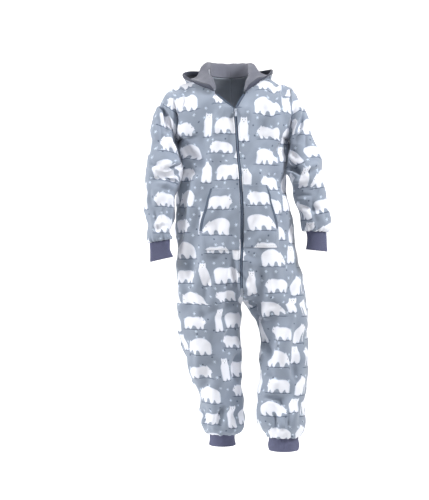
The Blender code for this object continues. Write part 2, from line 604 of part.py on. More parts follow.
def solid(name, near, far, closed, colour, group, flip=1):
    """A closed wall between two grids of points: near is the outer side, far the inner."""
    rows, count = near.shape[:2]
    base = rows * count
    verts = np.concatenate([near.reshape(-1, 3), far.reshape(-1, 3)])
    faces = []

    def quad(a, b, c, d):
        for triangle in ((a, b, c), (a, c, d)):
            faces.append(triangle[::-1] if flip > 0 else triangle)

    wraps = count if closed else count - 1
    for i in range(rows - 1):
        for j in range(wraps):
            a, b = i * count + j, i * count + (j + 1) % count
            c, d = b + count, a + count
            quad(a, d, c, b)
            quad(base + a, base + b, base + c, base + d)
    for j in range(wraps):
        a, b = j, (j + 1) % count
        quad(a, b, base + b, base + a)
        low = (rows - 1) * count
        quad(low + a, base + low + a, base + low + b, low + b)
    if not closed:
        for i in range(rows - 1):
            a, d = i * count, (i + 1) * count
            quad(a, base + a, base + d, d)
            a, d = a + count - 1, d + count - 1
            quad(a, d, base + d, base + a)
    return mesh_object(name, [tuple(v) for v in verts], faces, colour, group)


def mesh_object(name, verts, faces, colour, group):
    """An object in the garment's collection, shaded smooth but for its sharp edges."""
    mesh = bpy.data.meshes.new(name)
    mesh.from_pydata(verts, [], faces)
    mesh.update()
    mesh.shade_smooth()
    mesh.set_sharp_from_angle(angle=math.radians(50))
    piece = bpy.data.objects.new(name, mesh)
    group.objects.link(piece)
    finish(piece, colour)
    return piece


def finish(piece, colour, rough=0.9, metallic=0.0):
    """A Principled material of the piece's own."""
    material = bpy.data.materials.new(piece.name)
    material.use_nodes = True
    shader = material.node_tree.nodes["Principled BSDF"]
    shader.inputs["Base Color"].default_value = (*colour, 1.0)
    shader.inputs["Roughness"].default_value = rough
    shader.inputs["Metallic"].default_value = metallic
    piece.data.materials.clear()
    piece.data.materials.append(material)


def draw_back(near, far, pulls, closed):
    """The two grids of a wall, drawn back from their edges: top, bottom, start and end."""
    near, far = near.copy(), far.copy()
    for grid in (near, far):
        edges = [(grid[0], grid[1], pulls[0]), (grid[-1], grid[-2], pulls[1])]
        if not closed:
            edges += [(grid[:, 0], grid[:, 1], pulls[2]), (grid[:, -1], grid[:, -2], pulls[3])]
        for edge, inside, pull in edges:
            way = inside - edge
            way = way / np.linalg.norm(way, axis=1, keepdims=True)
            edge += way * np.reshape(pull, (-1, 1))
    return near, far


def zip_pull(panel):
    """How far each row of a front stays off its first edge: clear of the zip, or a seam."""
    z = panel[:, 0, 2]
    above = np.clip((HOOD_CORNER_Z + FADE - z) / FADE, 0, 1)
    below = np.clip((z - ZIP_END_Z) / (1.6 * FADE) + 1, 0, 1)
    rises, levels, _ = body_levels()
    trunk = np.arange(len(panel)) < len(rises) + len(levels)
    return SEAM / 2 + (ZIP_HALF - SEAM / 2) * above * below * trunk


def zip_edge(panel, normals, low, high):
    """The zip's edge of a front between two levels, with its way inward and its normals."""
    edge = panel[:, 0]
    way = panel[:, 1] - edge
    way = way / np.linalg.norm(way, axis=1, keepdims=True)
    rise = -edge[:, 2]
    rows = [z for z in rise if -high + 0.002 < z < -low - 0.002]
    at = np.array([-high] + rows + [-low])
    last = len(body_levels()[0]) + len(body_levels()[1])
    found = []
    for values in (edge, way, normals[:, 0]):
        found.append(np.stack([np.interp(at, rise[:last], values[:last, i]) for i in range(3)], axis=1))
    return found


def strip(name, edge, way, normals, span, depth, colour, group, flip):
    """A flat strip along the zip: span is its two sides, depth its two faces, from the cloth."""
    sides = [edge + way * s for s in span]
    near = np.stack([side - normals * depth[0] for side in sides], axis=1)
    far = np.stack([side - normals * depth[1] for side in sides], axis=1)
    return solid(name, near, far, False, colour, group, flip)


def plate(name, outlines, thickness):
    """A flat mesh in the XY plane from closed outlines, the later ones cut out of the first."""
    data = bpy.data.curves.new(name, "CURVE")
    data.dimensions = "2D"
    data.fill_mode = "BOTH"
    data.extrude = thickness / 2
    for outline in outlines:
        spline = data.splines.new("POLY")
        spline.points.add(len(outline) - 1)
        for point, (x, y) in zip(spline.points, outline):
            point.co = (x, y, 0, 1)
        spline.use_cyclic_u = True
    shape = bpy.data.objects.new(name, data)
    bpy.context.scene.collection.objects.link(shape)
    bpy.context.view_layer.update()
    mesh = bpy.data.meshes.new_from_object(shape.evaluated_get(bpy.context.evaluated_depsgraph_get()))
    bpy.data.objects.remove(shape)
    weld(mesh)
    return mesh


def weld(mesh):
    """Joins a curve's loose caps to its sides."""
    work = bmesh.new()
    work.from_mesh(mesh)
    bmesh.ops.remove_doubles(work, verts=work.verts, dist=0.00001)
    bmesh.ops.recalc_face_normals(work, faces=work.faces)
    work.to_mesh(mesh)
    work.free()


def rounded(half_x, low, high, radius, steps=3):
    """A rectangle with round corners, from its half width, its two ends and a radius."""
    corners = [(half_x, high, 0), (-half_x, high, 90), (-half_x, low, 180), (half_x, low, 270)]
    points = []
    for x, y, start in corners:
        centre_x = x - math.copysign(radius, x)
        centre_y = y + (radius if y == low else -radius)
        for k in range(steps + 1):
            angle = math.radians(start + 90 * k / steps)
            points.append((centre_x + radius * math.cos(angle), centre_y + radius * math.sin(angle)))
    return points


def slider(name, place, pitch, group, cutters):
    """A zip slider: a body on the coil and a bridge over it, which holds the pull tab."""
    half_wide, half_long, thick = 0.0044, 0.0065, 0.0026
    bridge_rise, strap = 0.0030, 0.0012
    mesh = plate(name, [rounded(half_wide, -half_long, half_long, 0.002)], thick)
    body = bpy.data.objects.new(name, mesh)
    arch = []
    for k in range(9):
        angle = math.pi * k / 8
        arch.append((0.0058 * math.cos(angle), (bridge_rise + strap) * math.sin(angle) ** 0.7))
    inner = []
    for k in range(8, -1, -1):
        angle = math.pi * k / 8
        inner.append((0.0044 * math.cos(angle), bridge_rise * math.sin(angle) ** 0.7))
    sunk = [(x, y + thick / 2 - 0.0003) for x, y in arch + inner]
    bridge = bpy.data.objects.new(name + "_bridge", plate(name + "_bridge", [sunk], 0.0022))
    for piece in (body, bridge):
        piece.rotation_mode = "XYZ"
        piece.location = place
    group.objects.link(body)
    cutters.objects.link(bridge)
    # The plate lies in XY: its Y turns up the zip, and its Z turns out of the cloth
    body.rotation_euler = (math.pi / 2 + pitch, 0, 0)
    bridge.rotation_euler = bridge_turn(pitch)
    bridge.hide_render = True
    bridge.display_type = "WIRE"
    join = body.modifiers.new("bridge", "BOOLEAN")
    join.operation = "UNION"
    join.solver = "EXACT"
    join.object = bridge
    finish(body, METAL, 0.35, 0.9)
    return body


def bridge_turn(pitch):
    """The turn of a plate whose X runs down the zip, and whose Y stands out of the cloth."""
    down = (0, math.sin(pitch), -math.cos(pitch))
    out = (0, -math.cos(pitch), -math.sin(pitch))
    side = (down[1] * out[2] - down[2] * out[1], 0, 0)
    return Matrix((down, out, side)).transposed().to_euler()


def pull_tab(name, place, pitch, group):
    """A pull tab with a window: its top bar passes under the slider's bridge."""
    bar, window, rail = 0.0012, 0.0066, 0.0022
    outer = rounded(TAB_WIDE / 2, -TAB_LONG, bar / 2, 0.0012)
    hole = rounded(TAB_WIDE / 2 - rail, -bar / 2 - window, -bar / 2, 0.0006, 2)
    tab = bpy.data.objects.new(name, plate(name, [outer, hole], TAB_THICK))
    tab.location = place
    tab.rotation_euler = (math.pi / 2 + pitch, 0, 0)
    group.objects.link(tab)
    finish(tab, METAL, 0.35, 0.9)
    return tab


def zip_frame(panel, z):
    """The middle of the zip at a level, and how far the way up it leans from upright."""
    edge = panel[:, 0]
    rows = np.arange(YOKE_ROWS // 2, len(edge))
    order = rows[np.argsort(edge[rows, 2])]
    point = np.array([np.interp(z, edge[order, 2], edge[order, i]) for i in range(3)])
    above = np.array([np.interp(z + 0.01, edge[order, 2], edge[order, i]) for i in range(3)])
    up = above - point
    return point, math.atan2(up[1], up[2])


def pocket(side, group):
    """A patch over a front, from the zip's edge to the slanted opening, made from its points."""
    table = POCKETS[side]
    levels = np.linspace(table["z"][0], table["z"][-1], 10)
    near = []
    far = []
    for z in levels:
        row = trunk_row(side, -1, z, np.linspace(0, 1, 30))
        outer = float(curve(table, "z", "outer", z))
        inner = row[0, 0] + side * POCKET_INSET
        across = np.linspace(inner, outer, 7)
        order = np.argsort(row[:, 0])
        deep = np.interp(across, row[order, 0], row[order, 1])
        share = (z - levels[0]) / (levels[-1] - levels[0])
        swell = math.sin(math.pi * share) * np.sin(np.linspace(0, math.pi, 7)) * POCKET_PUFF
        base = np.stack([across, deep - POCKET_GAP - swell, np.full(7, z)], axis=1)
        far.append(base)
        near.append(base - np.array([0, POCKET_WALL, 0]))
    return solid("pocket_" + side_name(side), np.array(near), np.array(far), False,
                 CLOTH, group, -side)


def clear_scene():
    for item in list(bpy.data.objects):
        bpy.data.objects.remove(item)


def collection(name):
    group = bpy.data.collections.new(name)
    bpy.context.scene.collection.children.link(group)
    return group


def garment_grids():
    """Every large piece of cloth as a grid, folded, with the normals that seams share."""
    panels = {}
    for side in (-1, 1):
        for face, word in ((-1, "front"), (1, "back")):
            panels[word + "_" + side_name(side)] = (body_panel(side, face), False, side * face)
        front = panels["front_" + side_name(side)][0]
        back = panels["back_" + side_name(side)][0]
        panels["sleeve_" + side_name(side)] = (sleeve_tube(side, front, back), True, side)
    normals = shared_normals(panels)
    folds = {}
    for name, (grid, closed, flip) in panels.items():
        table = SLEEVE_FOLDS if name.startswith("sleeve") else BODY_FOLDS
        folds[name] = (folded(grid, normals[name], table), closed, flip)
    for side in (-1, 1):
        word = side_name(side)
        ring = folds["sleeve_" + word][0]
        front = folds["front_" + word][0]
        back = folds["back_" + word][0]
        ring[0] = np.concatenate([front[:YOKE_ROWS + 1, -1], back[YOKE_ROWS - 1:0:-1, -1]])
    return folds, shared_normals(folds)


def build():
    clear_scene()
    group = collection("onesie")
    cutters = collection("cutters")
    cutters.hide_render = True
    grids, normals = garment_grids()
    half = SEAM / 2
    for name, (grid, closed, flip) in grids.items():
        near, far = grid, grid - normals[name] * WALL
        start = zip_pull(grid) if name.startswith("front") else half
        near, far = draw_back(near, far, (half, half, start, half), closed)
        solid(name, near, far, closed, CLOTH, group, flip)
    for word, tables in (("wrist", WRISTS), ("ankle", ANKLES)):
        for side, table in tables.items():
            rings = cuff_tube(table)
            out = shared_normals({"cuff": (rings, True, 1)})["cuff"]
            solid(f"{word}_cuff_{side_name(side)}", rings, rings - out * RIB, True, CUFF, group, 1)
    for side in (-1, 1):
        pocket(side, group)
    make_hood(grids, group)
    make_zip(grids, normals, group, cutters)


def make_hood(grids, group):
    """The hood's outer halves, its lining and the band round its opening."""
    halves = {}
    bands = {}
    for side in (-1, 1):
        word = side_name(side)
        halves[side], bands[side] = hood_grid(side, grids["front_" + word][0], grids["back_" + word][0])
    cloth = np.concatenate([halves[-1], halves[1][-2::-1]])
    band = np.concatenate([bands[-1], bands[1][-2::-1]])
    seam = HOOD_STATIONS - 1
    whole = np.concatenate([cloth, band], axis=1)
    out = shared_normals({"hood": (whole, False, -1)})["hood"]
    between = out[:, HOOD_STEPS - 1] + out[:, HOOD_STEPS]
    between = between / np.linalg.norm(between, axis=1, keepdims=True)
    out[:, HOOD_STEPS - 1] = between
    out[:, HOOD_STEPS] = between
    rise = out[:, :HOOD_STEPS]
    solid("hood_lining", cloth + rise * (LAYER + SEAM / 2), cloth + rise * SEAM / 2, False,
          LINING, group, -1)
    for word, rows, end in (("left", slice(0, seam + 1), 1), ("right", slice(seam, None), 0)):
        part, lift = cloth[rows], rise[rows]
        near, far = part - lift * SEAM / 2, part - lift * (LAYER + SEAM / 2)
        pulls = [0.0, 0.0, 0.0, 0.0]
        pulls[end] = SEAM / 2
        near, far = draw_back(near, far, pulls, False)
        solid("hood_" + word, near, far, False, CLOTH, group, -1)
    thick = (LAYER + SEAM) * 1.25
    swell = np.array([1.0, 1.15, 0.6])[None, :, None] * thick
    lift = out[:, HOOD_STEPS:]
    solid("hood_hem", band + lift * swell, band - lift * swell, False, DARK, group, -1)


def make_zip(grids, normals, group, cutters):
    """The tapes under the fronts' edges, the coil, its open ends, two sliders and their tabs."""
    under = WALL + TAPE_GAP
    top = HOOD_CORNER_Z - 0.004
    for side in (-1, 1):
        word = side_name(side)
        grid, _, flip = grids["front_" + word]
        edge, way, out = zip_edge(grid, normals["front_" + word], ZIP_END_Z, top)
        strip("zip_tape_" + word, edge, way, out, (SEAM / 2, TAPE_WIDE),
              (under, under + TAPE_THICK), DARK, group, flip)
        edge, way, out = zip_edge(grid, normals["front_" + word], ZIP_TOP_Z + 0.004, top)
        strip("zip_open_" + word, edge, way, out, (SEAM / 2, COIL_HALF + SEAM / 2),
              (under - SEAM - COIL_THICK, under - SEAM), DARK, group, flip)
    grid, _, flip = grids["front_right"]
    edge, _, _ = zip_edge(grid, normals["front_right"], ZIP_END_Z, ZIP_TOP_Z - 0.008)
    across = np.tile([1.0, 0.0, 0.0], (len(edge), 1))
    slope = np.gradient(edge, axis=0)
    out = np.cross(slope, across)
    out = out / np.linalg.norm(out, axis=1, keepdims=True)
    strip("zip_coil", edge, across, out, (-COIL_HALF, COIL_HALF),
          (under - COIL_GAP - COIL_THICK, under - COIL_GAP), DARK, group, -1)
    for word, z in (("top", ZIP_TOP_Z - 0.009), ("bottom", ZIP_END_Z + 0.010)):
        point, pitch = zip_frame(grid, z)
        out = np.array([0.0, -math.cos(pitch), math.sin(pitch)])
        place = point + out * SLIDER_OUT
        slider("slider_" + word, place, -pitch, group, cutters)
        hang = -pitch if word == "top" else 0.0
        pull_tab("pull_tab_" + word, place + out * TAB_OUT, hang, group)


build()
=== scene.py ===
"""The looks of a hooded fleece onesie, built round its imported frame.

Metres, +Z up; the front faces -Y, and left and right are the viewer's. Each piece of cloth
is a thin shell on the form of its solid, worked out from the same sections, with its folds,
creases, seams and gathers. The print is drawn by shader nodes on UVs that are in metres.
"""
import math

import bpy
import numpy as np
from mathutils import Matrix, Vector


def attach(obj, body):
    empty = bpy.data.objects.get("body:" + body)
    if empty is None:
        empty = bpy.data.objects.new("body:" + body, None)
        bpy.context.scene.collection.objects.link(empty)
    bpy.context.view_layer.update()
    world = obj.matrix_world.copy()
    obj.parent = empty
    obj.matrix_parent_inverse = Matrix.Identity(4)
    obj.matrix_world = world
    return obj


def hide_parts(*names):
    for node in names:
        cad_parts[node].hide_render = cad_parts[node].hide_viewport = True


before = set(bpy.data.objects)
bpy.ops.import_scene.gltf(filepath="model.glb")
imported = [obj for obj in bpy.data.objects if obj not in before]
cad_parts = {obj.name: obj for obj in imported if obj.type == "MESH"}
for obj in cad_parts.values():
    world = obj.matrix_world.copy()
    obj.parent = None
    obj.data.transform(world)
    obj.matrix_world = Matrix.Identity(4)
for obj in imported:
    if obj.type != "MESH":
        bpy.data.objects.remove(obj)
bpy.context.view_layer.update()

# The garment's form: the driving dimensions of its solids
WALL = 0.003            # the fleece
LAYER = 0.0025          # the hood's outer fleece and its lining, each
RIB = 0.0035            # the doubled rib of the cuffs
SEAM = 0.0004           # the gap at every seam
UNDERARM_Z = -0.213
ARCH_Z = -0.784         # the top of the arch between the legs, at the zip
ARCH_SIDE_Z = -0.690    # and at the legs' crests
LEG_RUN = 0.506         # down a leg, from the crotch to the ankle cuff's top
TUCK_RUN = 0.050        # the part of it that tucks in to the cuff, in closer rows
SLEEVE_TUCK = 0.040     # and that part of a sleeve
ZIP_HALF = 0.0055       # from the middle of the zip to the edge of a front
ZIP_TOP_Z = -0.106      # the foot of the open V
ZIP_END_Z = -0.788      # the bottom slider's lower end
TAPE_GAP = 0.0016       # from the fronts to the tapes behind them
NECK_X = -0.008
HOOD_HEM = 0.020        # the width of the hood's band
HEM_SHARE = 0.30        # and the most of a section that it takes
HEM_GAP = 0.0006        # between the band and the cloth
PART_SHARE = 0.11       # the least of a section between two of its points
HOOD_CORNER_Z = -0.044
BACK_NECK = 0.90        # where the back's neckline starts, as a share of the yoke's height
FADE = 0.012            # the height over which the zip's opening fades into a seam

# How finely the shells follow that form
YOKE_ROWS = 70
TRUNK_ROWS = 140
LEG_ROWS = 112
TUCK_ROWS = 26          # of them, where the leg tucks in
# a panel's columns, from its first edge to its side
SHARES = np.concatenate([[0, 0.004, 0.010, 0.018], np.linspace(0.028, 0.972, 62),
                         [0.982, 0.990, 0.996, 1]])
MIDDLE = len(SHARES) // 2
SLEEVE_RINGS = 184
SLEEVE_TUCK_RINGS = 24
HOOD_STATIONS = 80
HOOD_PARTS = (12, 6, 18, 12, 15)    # columns from each point of the hood's section to the next
HOOD_FINE = 120                     # points of the section that they are read from
BAND_COLUMNS = 14
CUFF_RIBS = 66
RIB_COLUMNS = 6         # of each rib
# a cuff's rows, by the rows of its table
CUFF_ROWS = np.concatenate([[0, 0.02, 0.06], np.linspace(0.12, 2.80, 20),
                            [2.87, 2.93, 2.97, 3.0]])

# The columns of the tables that aren't lengths
PLAIN = ("face", "fork", "ridge", "tilt", "turn")


def columns(text):
    """A table from text: a line of names, then a line for each section or fold.

    Lengths are in millimetres in the text, and in metres in the table."""
    names, *rows = (line.split() for line in text.strip().splitlines())
    return {name: np.array([float(value if name in PLAIN else value + "e-3") for value in column])
            for name, column in zip(names, zip(*rows))}


# Sections of the trunk, underarm to crotch: the two side seams, the zip and the centre-back
# seam across the body, the depths in front of the side seams and behind them, and how far
# the section has forked into two legs (0.5 where they part).
TRUNK = columns("""
   z   left right zip spine front back  fork
-213   -188   208  20     5   146  128     0
-250   -191 211.5  22     5   152  124     0
-300 -193.5 212.5  26     5   159  119     0
-350   -191 209.5  31     6   166  114     0
-400   -196   213  34     7   171  112     0
-460   -207   220  37     9   174  116     0
-510   -213   227  38    11   173  124  0.03
-560   -218   239  38    14   170  134  0.08
-615   -221   247  38    18   166  146  0.16
-670   -221   255  36    23   162  154  0.26
-725   -220   269  36    29   158  155  0.36
-765   -217   278  37    34   154  151  0.42
-790   -215   283  39    38   150  146 0.455
-810   -212   287  42    42   147  141  0.48
-832   -210   289  45    45   143  136   0.5""")

# Sections of each leg, by the way run down it: the outseam and the inseam across, their
# depth, and the depths in front of them and behind. The last rows tuck in to the cuff.
LEGS = {
    -1: columns("""
run     z outer inner mid front back
  0  -832  -210    45   0   143  136
 20  -852  -209    40   0   140  133
 50  -882  -207    38   0   135  129
100  -932  -200    38   2   127  123
170 -1002  -187    38   6   116  115
240 -1072  -168    38  12   106  108
290 -1122  -145    38  18   100  102
340 -1172  -125    39  24    94   97
380 -1212  -118    40  28    90   94
420 -1252  -117    47  32    88   91
450 -1282  -114    52  34    87   89
470 -1303  -111    46  35    83   85
486 -1320  -104    35  36    76   77
496 -1331   -94    26  36    68   69
501 -1331   -87    20  36    62   63
506 -1327   -83    16  36    59   59"""),
    1: columns("""
run     z outer inner  mid front back
  0  -832   289    45    0   143  136
 20  -852   290    61   -2   140  133
 45  -878   290    74   -6   135  129
 65  -898   290    90   -9   131  125
 90  -923   290   104  -13   127  121
125  -958   289   111  -19   121  117
175 -1008   289   110  -29   114  111
225 -1058   289   106  -40   108  106
300 -1132   284   103  -60    99   99
365 -1196   275    96  -80    92   94
410 -1240   274    95  -94    89   91
440 -1269   273   100 -102    87   88
465 -1293   269   112 -108    82   84
485 -1313   263   125 -111    75   76
497 -1323   255   133 -112    68   68
506 -1318   249   139 -112    61   61""")}

# The shoulder line as seen from the front, and the armhole and the front neckline by height
SHOULDER = columns("""
   x   z
-240 -40
-186 -12
-130  12
 -86  33
  -6  55
  74  38
 140  20
 190   3
 240 -28""")
ARMHOLE = columns("""
   z left right
-213 -188   208
-190 -194   214
-140 -199   221
 -95 -206   224
 -55 -215   226
 -10 -222   224""")
NECKLINE = columns("""
   z left right
-106 12.5  12.5
 -85  -11    22
 -60  -38    36
 -44  -55    46
 -20  -72    60
   5  -81    68
  36  -86    74""")
CHEST_ROUND = 2.2       # how squarely the chest turns over to the shoulder seam
BACK_ROUND = 3.0        # and the back
DEPTH_ROUND = 0.6
SHOULDER_FLAT = 0.5     # how much flatter across the yoke is at the shoulder than below
ARMHOLE_X = 0.21        # first guesses at where a level meets those edges
NECKLINE_X = 0.05

# Rings of each sleeve: the outer and the inner side as seen from the front, the depth of
# the arm's middle and its half depth. The last rings tuck in to the wrist cuff.
SLEEVES = {
    -1: columns("""
run outer outer_z  inner inner_z mid deep
  0  -222     -30   -188    -213   0   80
 30  -243     -46 -193.5    -222   0   80
 65  -265     -74 -194.5    -235   0   77
100  -284    -110 -194.5    -250 -12   73
150  -297    -158   -193    -271 -30   70
210  -309    -218   -190    -300 -47   68
280  -317    -288   -183    -334 -60   67
340  -321    -348   -191    -368 -67   64
410  -324    -412   -203    -418 -71   60
470  -324    -470   -208    -472 -77   56
530  -322    -530   -218    -524 -83   52
575  -318    -577   -223    -562 -87   49
600  -313    -600   -220    -584 -89   47
610  -308    -604   -224    -590 -90   43
618  -303    -598   -228    -586 -90   38"""),
    1: columns("""
run outer outer_z inner inner_z mid deep
  0   224     -14   208    -213   0   80
 30   246     -40 212.5    -221   0   81
 70   267     -80   213    -233   0   78
110   285    -122 214.5    -246 -12   74
160   303    -172   213    -266 -28   71
225   323    -240   210    -302 -43   69
290   338    -304   207    -338 -54   67
355   352    -372   219    -376 -60   63
420   361    -438   235    -432 -64   59
480   365    -500   252    -484 -65   55
525   369    -536   260    -530 -64   52
548   369    -556   264    -551 -67   49
558   363    -563   271    -560 -68   44
566 357.5    -557   281    -556 -68   38""")}
# How a ring goes over from the armhole's own form to a plain one, by the run from it
SLEEVE_BLEND = ([0, 0.022, 0.05, 0.09, 0.135], [0, 0.25, 0.5, 0.75, 1])

# Cuffs: the middle of each ring, its half width and half depth, and its tilt across
WRISTS = {
    -1: columns("""
     x   y      z wide deep tilt
-265.5 -90 -593.5 37.5   38 0.16
-266.5 -91   -615 36.5   37 0.14
-265.5 -93   -637   37   38  0.2
-260.5 -95   -666   43   39 0.22"""),
    1: columns("""
    x   y      z wide deep  tilt
  319 -68 -558.8 38.2   38     0
320.5 -71   -583   36   37 -0.02
  320 -74   -608   37   38 -0.06
  319 -77   -633   40   40  -0.1""")}
ANKLES = {
    -1: columns("""
    x  y       z wide deep tilt
-33.5 36 -1328.5 49.5   59    0
-33.5 36   -1343   48   57    0
  -33 36   -1359 48.5   57    0
-32.5 36   -1376   51   60    0"""),
    1: columns("""
  x    y       z wide deep tilt
194 -112 -1319.5   55   61    0
194 -112   -1337 55.5   60    0
194 -113   -1355   58   61    0
194 -113   -1373   55   62    0""")}

# The hood's section at each turn round the neck, from the front (0) to the back (180):
# radius from the neck's middle and height of the crest at the neck, the fold outside it,
# the dip of the lining, the belly of the bag and the rim of the opening
HOOD = columns("""
turn crest_r crest_z fold_r fold_z dip_r dip_z belly_r belly_z rim_r rim_z
  27     114     -34  117.5    -31 121.5   -34     124     -38   127   -42
  38      99       3    107     -4   117   -18     124     -26   129   -31
  50      90      24    100     12   116    -6     130     -14   136   -20
  62      82      42     95     26   117     6     139      -1   149    -3
  76      76      58     94     40   122    15     152       8   163    15
  90      73      71     95     53   129    22     162      17   173    33
 105      80      81    103     66   135    20     169      18   175    50
 120      88      85    110     70   146    -6     180       0   168    60
 135      90      86    111     69   157   -58     190     -36   163    64
 150      90      88    111     68   162  -112     196     -76   159    66
 165      90      89    110     66   163  -144     199     -98   156    68
 180      90      89    110     66   163  -153     201    -103   155    68""")
HOOD_RISE = 0.0015      # from the neckline to the section's first point
RIGHT_REACH = 0.95      # the hood's right rim stands nearer than the left one
RIGHT_LIFT = 0.017      # and this much higher
RIGHT_CORNER = (0.0065, -0.0055)    # and its front corner lies further out and down
CORNER_TURN = 35        # which fades over so many degrees of turn

# Large folds, as seen from the front: where each starts and ends, its half width, and how
# far it stands out (or sinks in, below 0); face is -1 for the front and 1 for the back
BODY_FOLDS = columns("""
face   x0    z0   x1    z1 wide out
  -1   -4  -650   14  -800   18  -8
  -1   70  -810  104  -900   18 -12
  -1   85  -880  160  -905   18 -11
  -1  118  -935  168 -1030   20 -10
  -1   26 -1005    8 -1135   20 -10
  -1 -120  -880  -30  -845   22  -9
  -1  -36 -1215  -58 -1300   18 -12
  -1 -112 -1220  -94 -1310   18 -10
  -1 -150  -640 -165  -900   34 -10
  -1  205    -5  206   -80   18  -9
  -1  188  -215  130  -290   24 -10
  -1 -168  -225 -105  -330   26 -11
  -1   60  -300  160  -350   26  -6
  -1  235  -660  215  -830   30  -9
  -1  240 -1020  215 -1200   26 -10
  -1  125 -1170  210 -1215   22  -9
   1   30  -700  160  -800   26 -13
   1   10  -730 -110  -810   26 -13
   1  110  -850  210  -890   22 -12
   1  -20  -850 -130  -895   22 -12
   1 -120  -390   80  -425   30 -12
   1  -30  -475  170  -445   30 -11
   1  130 -1030  260 -1055   22 -11
   1 -130 -1045    0 -1075   22 -11
   1  140 -1190  150 -1300   20 -11
   1  -60 -1200  -50 -1310   20 -11
   1 -160  -235  -60  -310   26 -11
   1  180  -235   80  -310   26 -11""")
SLEEVE_FOLDS = columns("""
face   x0   z0   x1   z1 wide out
  -1 -250  -85 -243 -190   17 -14
  -1 -224 -120 -200 -250   17 -13
  -1 -190 -325 -270 -350   18 -14
  -1 -200 -385 -305 -375   18  -9
  -1 -225 -440 -245 -560   18  -9
  -1  210 -325  285 -355   18 -14
  -1  228 -385  325 -410   18 -10
  -1  256 -470  335 -485   18  -9
  -1  262 -110  248 -235   18 -11
   1 -190 -340 -290 -310   19 -12
   1 -200 -405 -300 -425   18 -10
   1  210 -335  320 -320   19 -12
   1  235 -400  340 -425   18 -10
   1 -242  -90 -232 -200   18 -10
   1  255  -90  248 -200   18 -10""")

# A pocket's outline as seen from the front: its upper, slanted, side and lower edges
POCKETS = {
    -1: columns("""
   z outer
-404   -78
-454   -90
-510  -105
-560  -118
-595  -113
-631  -107"""),
    1: columns("""
   z outer
-390   130
-450   146
-505   160
-551   171
-590   173
-622   174""")}

# Creases, finer than the folds: as seen from the front, where each starts and ends, its half
# width, its depth, how far it bows aside, and the ridge beside it (its share, and its side)
CREASE_FRONT = 1.6      # how many times as deep as that they are on the front
CREASE_BACK = 0.95      # and on the back
RIDGE_ASIDE = 1.9       # the ridge's middle, in half widths from the crease's
RIDGE_WIDE = 1.3        # and its own half width, in those
BODY_CREASES = columns("""
face   x0    z0   x1    z1 wide deep bend ridge
  -1    4  -665   22  -806  8.5  6.5    4   0.9
  -1   16  -700   70  -772   10    4   -6  -0.7
  -1   58  -815   94  -898    9    9   -6   0.8
  -1   76  -872  142  -896    8    7    4  -0.8
  -1  117  -938  158 -1022  9.5    8    8   0.9
  -1  120  -990  185 -1062   11  4.5    5   0.7
  -1   66  -846  170  -838   12    4   -8   0.7
  -1   30 -1012   16 -1130  8.5  7.5    6  -0.9
  -1   22  -905  -20  -985   10  4.2    6   0.7
  -1   20  -860  -62  -890   11  4.8   -6   0.8
  -1  -38 -1225  -57 -1292    8  7.5    3   0.9
  -1 -110 -1232  -94 -1304    8  6.5   -3  -0.9
  -1    6 -1232   -4 -1306    8    5    3   0.8
  -1  -74 -1246  -76 -1312    7    4    2  -0.8
  -1 -138  -985 -128 -1110   12    4    6   0.7
  -1  -70 -1120 -128 -1168   10    4    5  -0.7
  -1 -192  -700 -150  -800   11  4.5    6   0.8
  -1  -80  -720 -100  -830   12  3.5    5  -0.7
  -1  242  -712  212  -792   11  4.5   -6   0.8
  -1  150  -690  172  -800   13  3.5    6   0.7
  -1  254  -850  232  -965   11    4    5  -0.8
  -1  232 -1030  246 -1130   11  4.2    6   0.7
  -1  128 -1078  190 -1110   10  4.5    5   0.8
  -1  122 -1170  196 -1204    9    6   -5   0.9
  -1  216 -1216  205 -1292  8.5    6    4   0.9
  -1  150 -1226  166 -1296    8  5.5   -3  -0.8
  -1  248 -1206  242 -1284    8  4.5    2   0.8
  -1  186 -1240  188 -1300    7  3.5    2   0.8
  -1 -172  -222 -128  -292   10    6    5   0.8
  -1 -160  -262  -96  -318   11  4.5   -5   0.7
  -1 -158  -330 -104  -345   12    3    6  -0.7
  -1  190  -220  150  -286   10    6   -5   0.8
  -1  184  -268  124  -312   11  4.5    5  -0.7
  -1  176  -352  130  -372   12    3    5   0.7
  -1  196   -20  200  -105    9  5.5    6   0.8
  -1 -190   -40 -186  -120    9  4.5   -6   0.8
  -1  -48  -120  -20  -178   12  3.5    5   0.7
  -1   60  -122   40  -186   12  3.5   -5   0.7
  -1 -130  -420 -118  -520   11    4    5   0.7
  -1  185  -430  178  -540   11    4   -5   0.7
  -1   46  -640  110  -664   12    3    5   0.7
  -1  -20  -636  -90  -668   12    3   -4   0.7
   1   30  -700  140  -772   11  7.5    8   0.8
   1   12  -712  -86  -790   11    7   -8  -0.8
   1   60  -800  190  -838   12    6    8   0.8
   1   20  -820 -110  -858   12    6   -6   0.8
   1  118  -872  208  -912   11    6    6  -0.8
   1  -10  -880 -120  -920   11  5.5    6   0.8
   1 -110  -392   66  -418   12    6    6   0.8
   1  -30  -476  150  -452   12  5.5   -6   0.8
   1  -90  -520   10  -538   12  4.5    5  -0.8
   1  140 -1034  248 -1050   11    6    6   0.8
   1  152 -1084  236 -1072   10  4.5    5   0.8
   1 -120 -1050  -10 -1072   11    6    6   0.8
   1 -110 -1100  -24 -1092   10  4.5    5  -0.8
   1  140 -1190  152 -1292  9.5    6    5   0.8
   1  210 -1210  200 -1290    9    5    4   0.8
   1  -64 -1204  -50 -1300  9.5    6    5   0.8
   1   10 -1216    0 -1296    9    5    4  -0.8
   1 -156  -236  -80  -296   11    6    6   0.8
   1  176  -236  100  -296   11    6   -6   0.8
   1  -90   -60 -150  -140   12  4.5    6   0.8
   1   96   -60  160  -140   12  4.5   -6   0.8""")
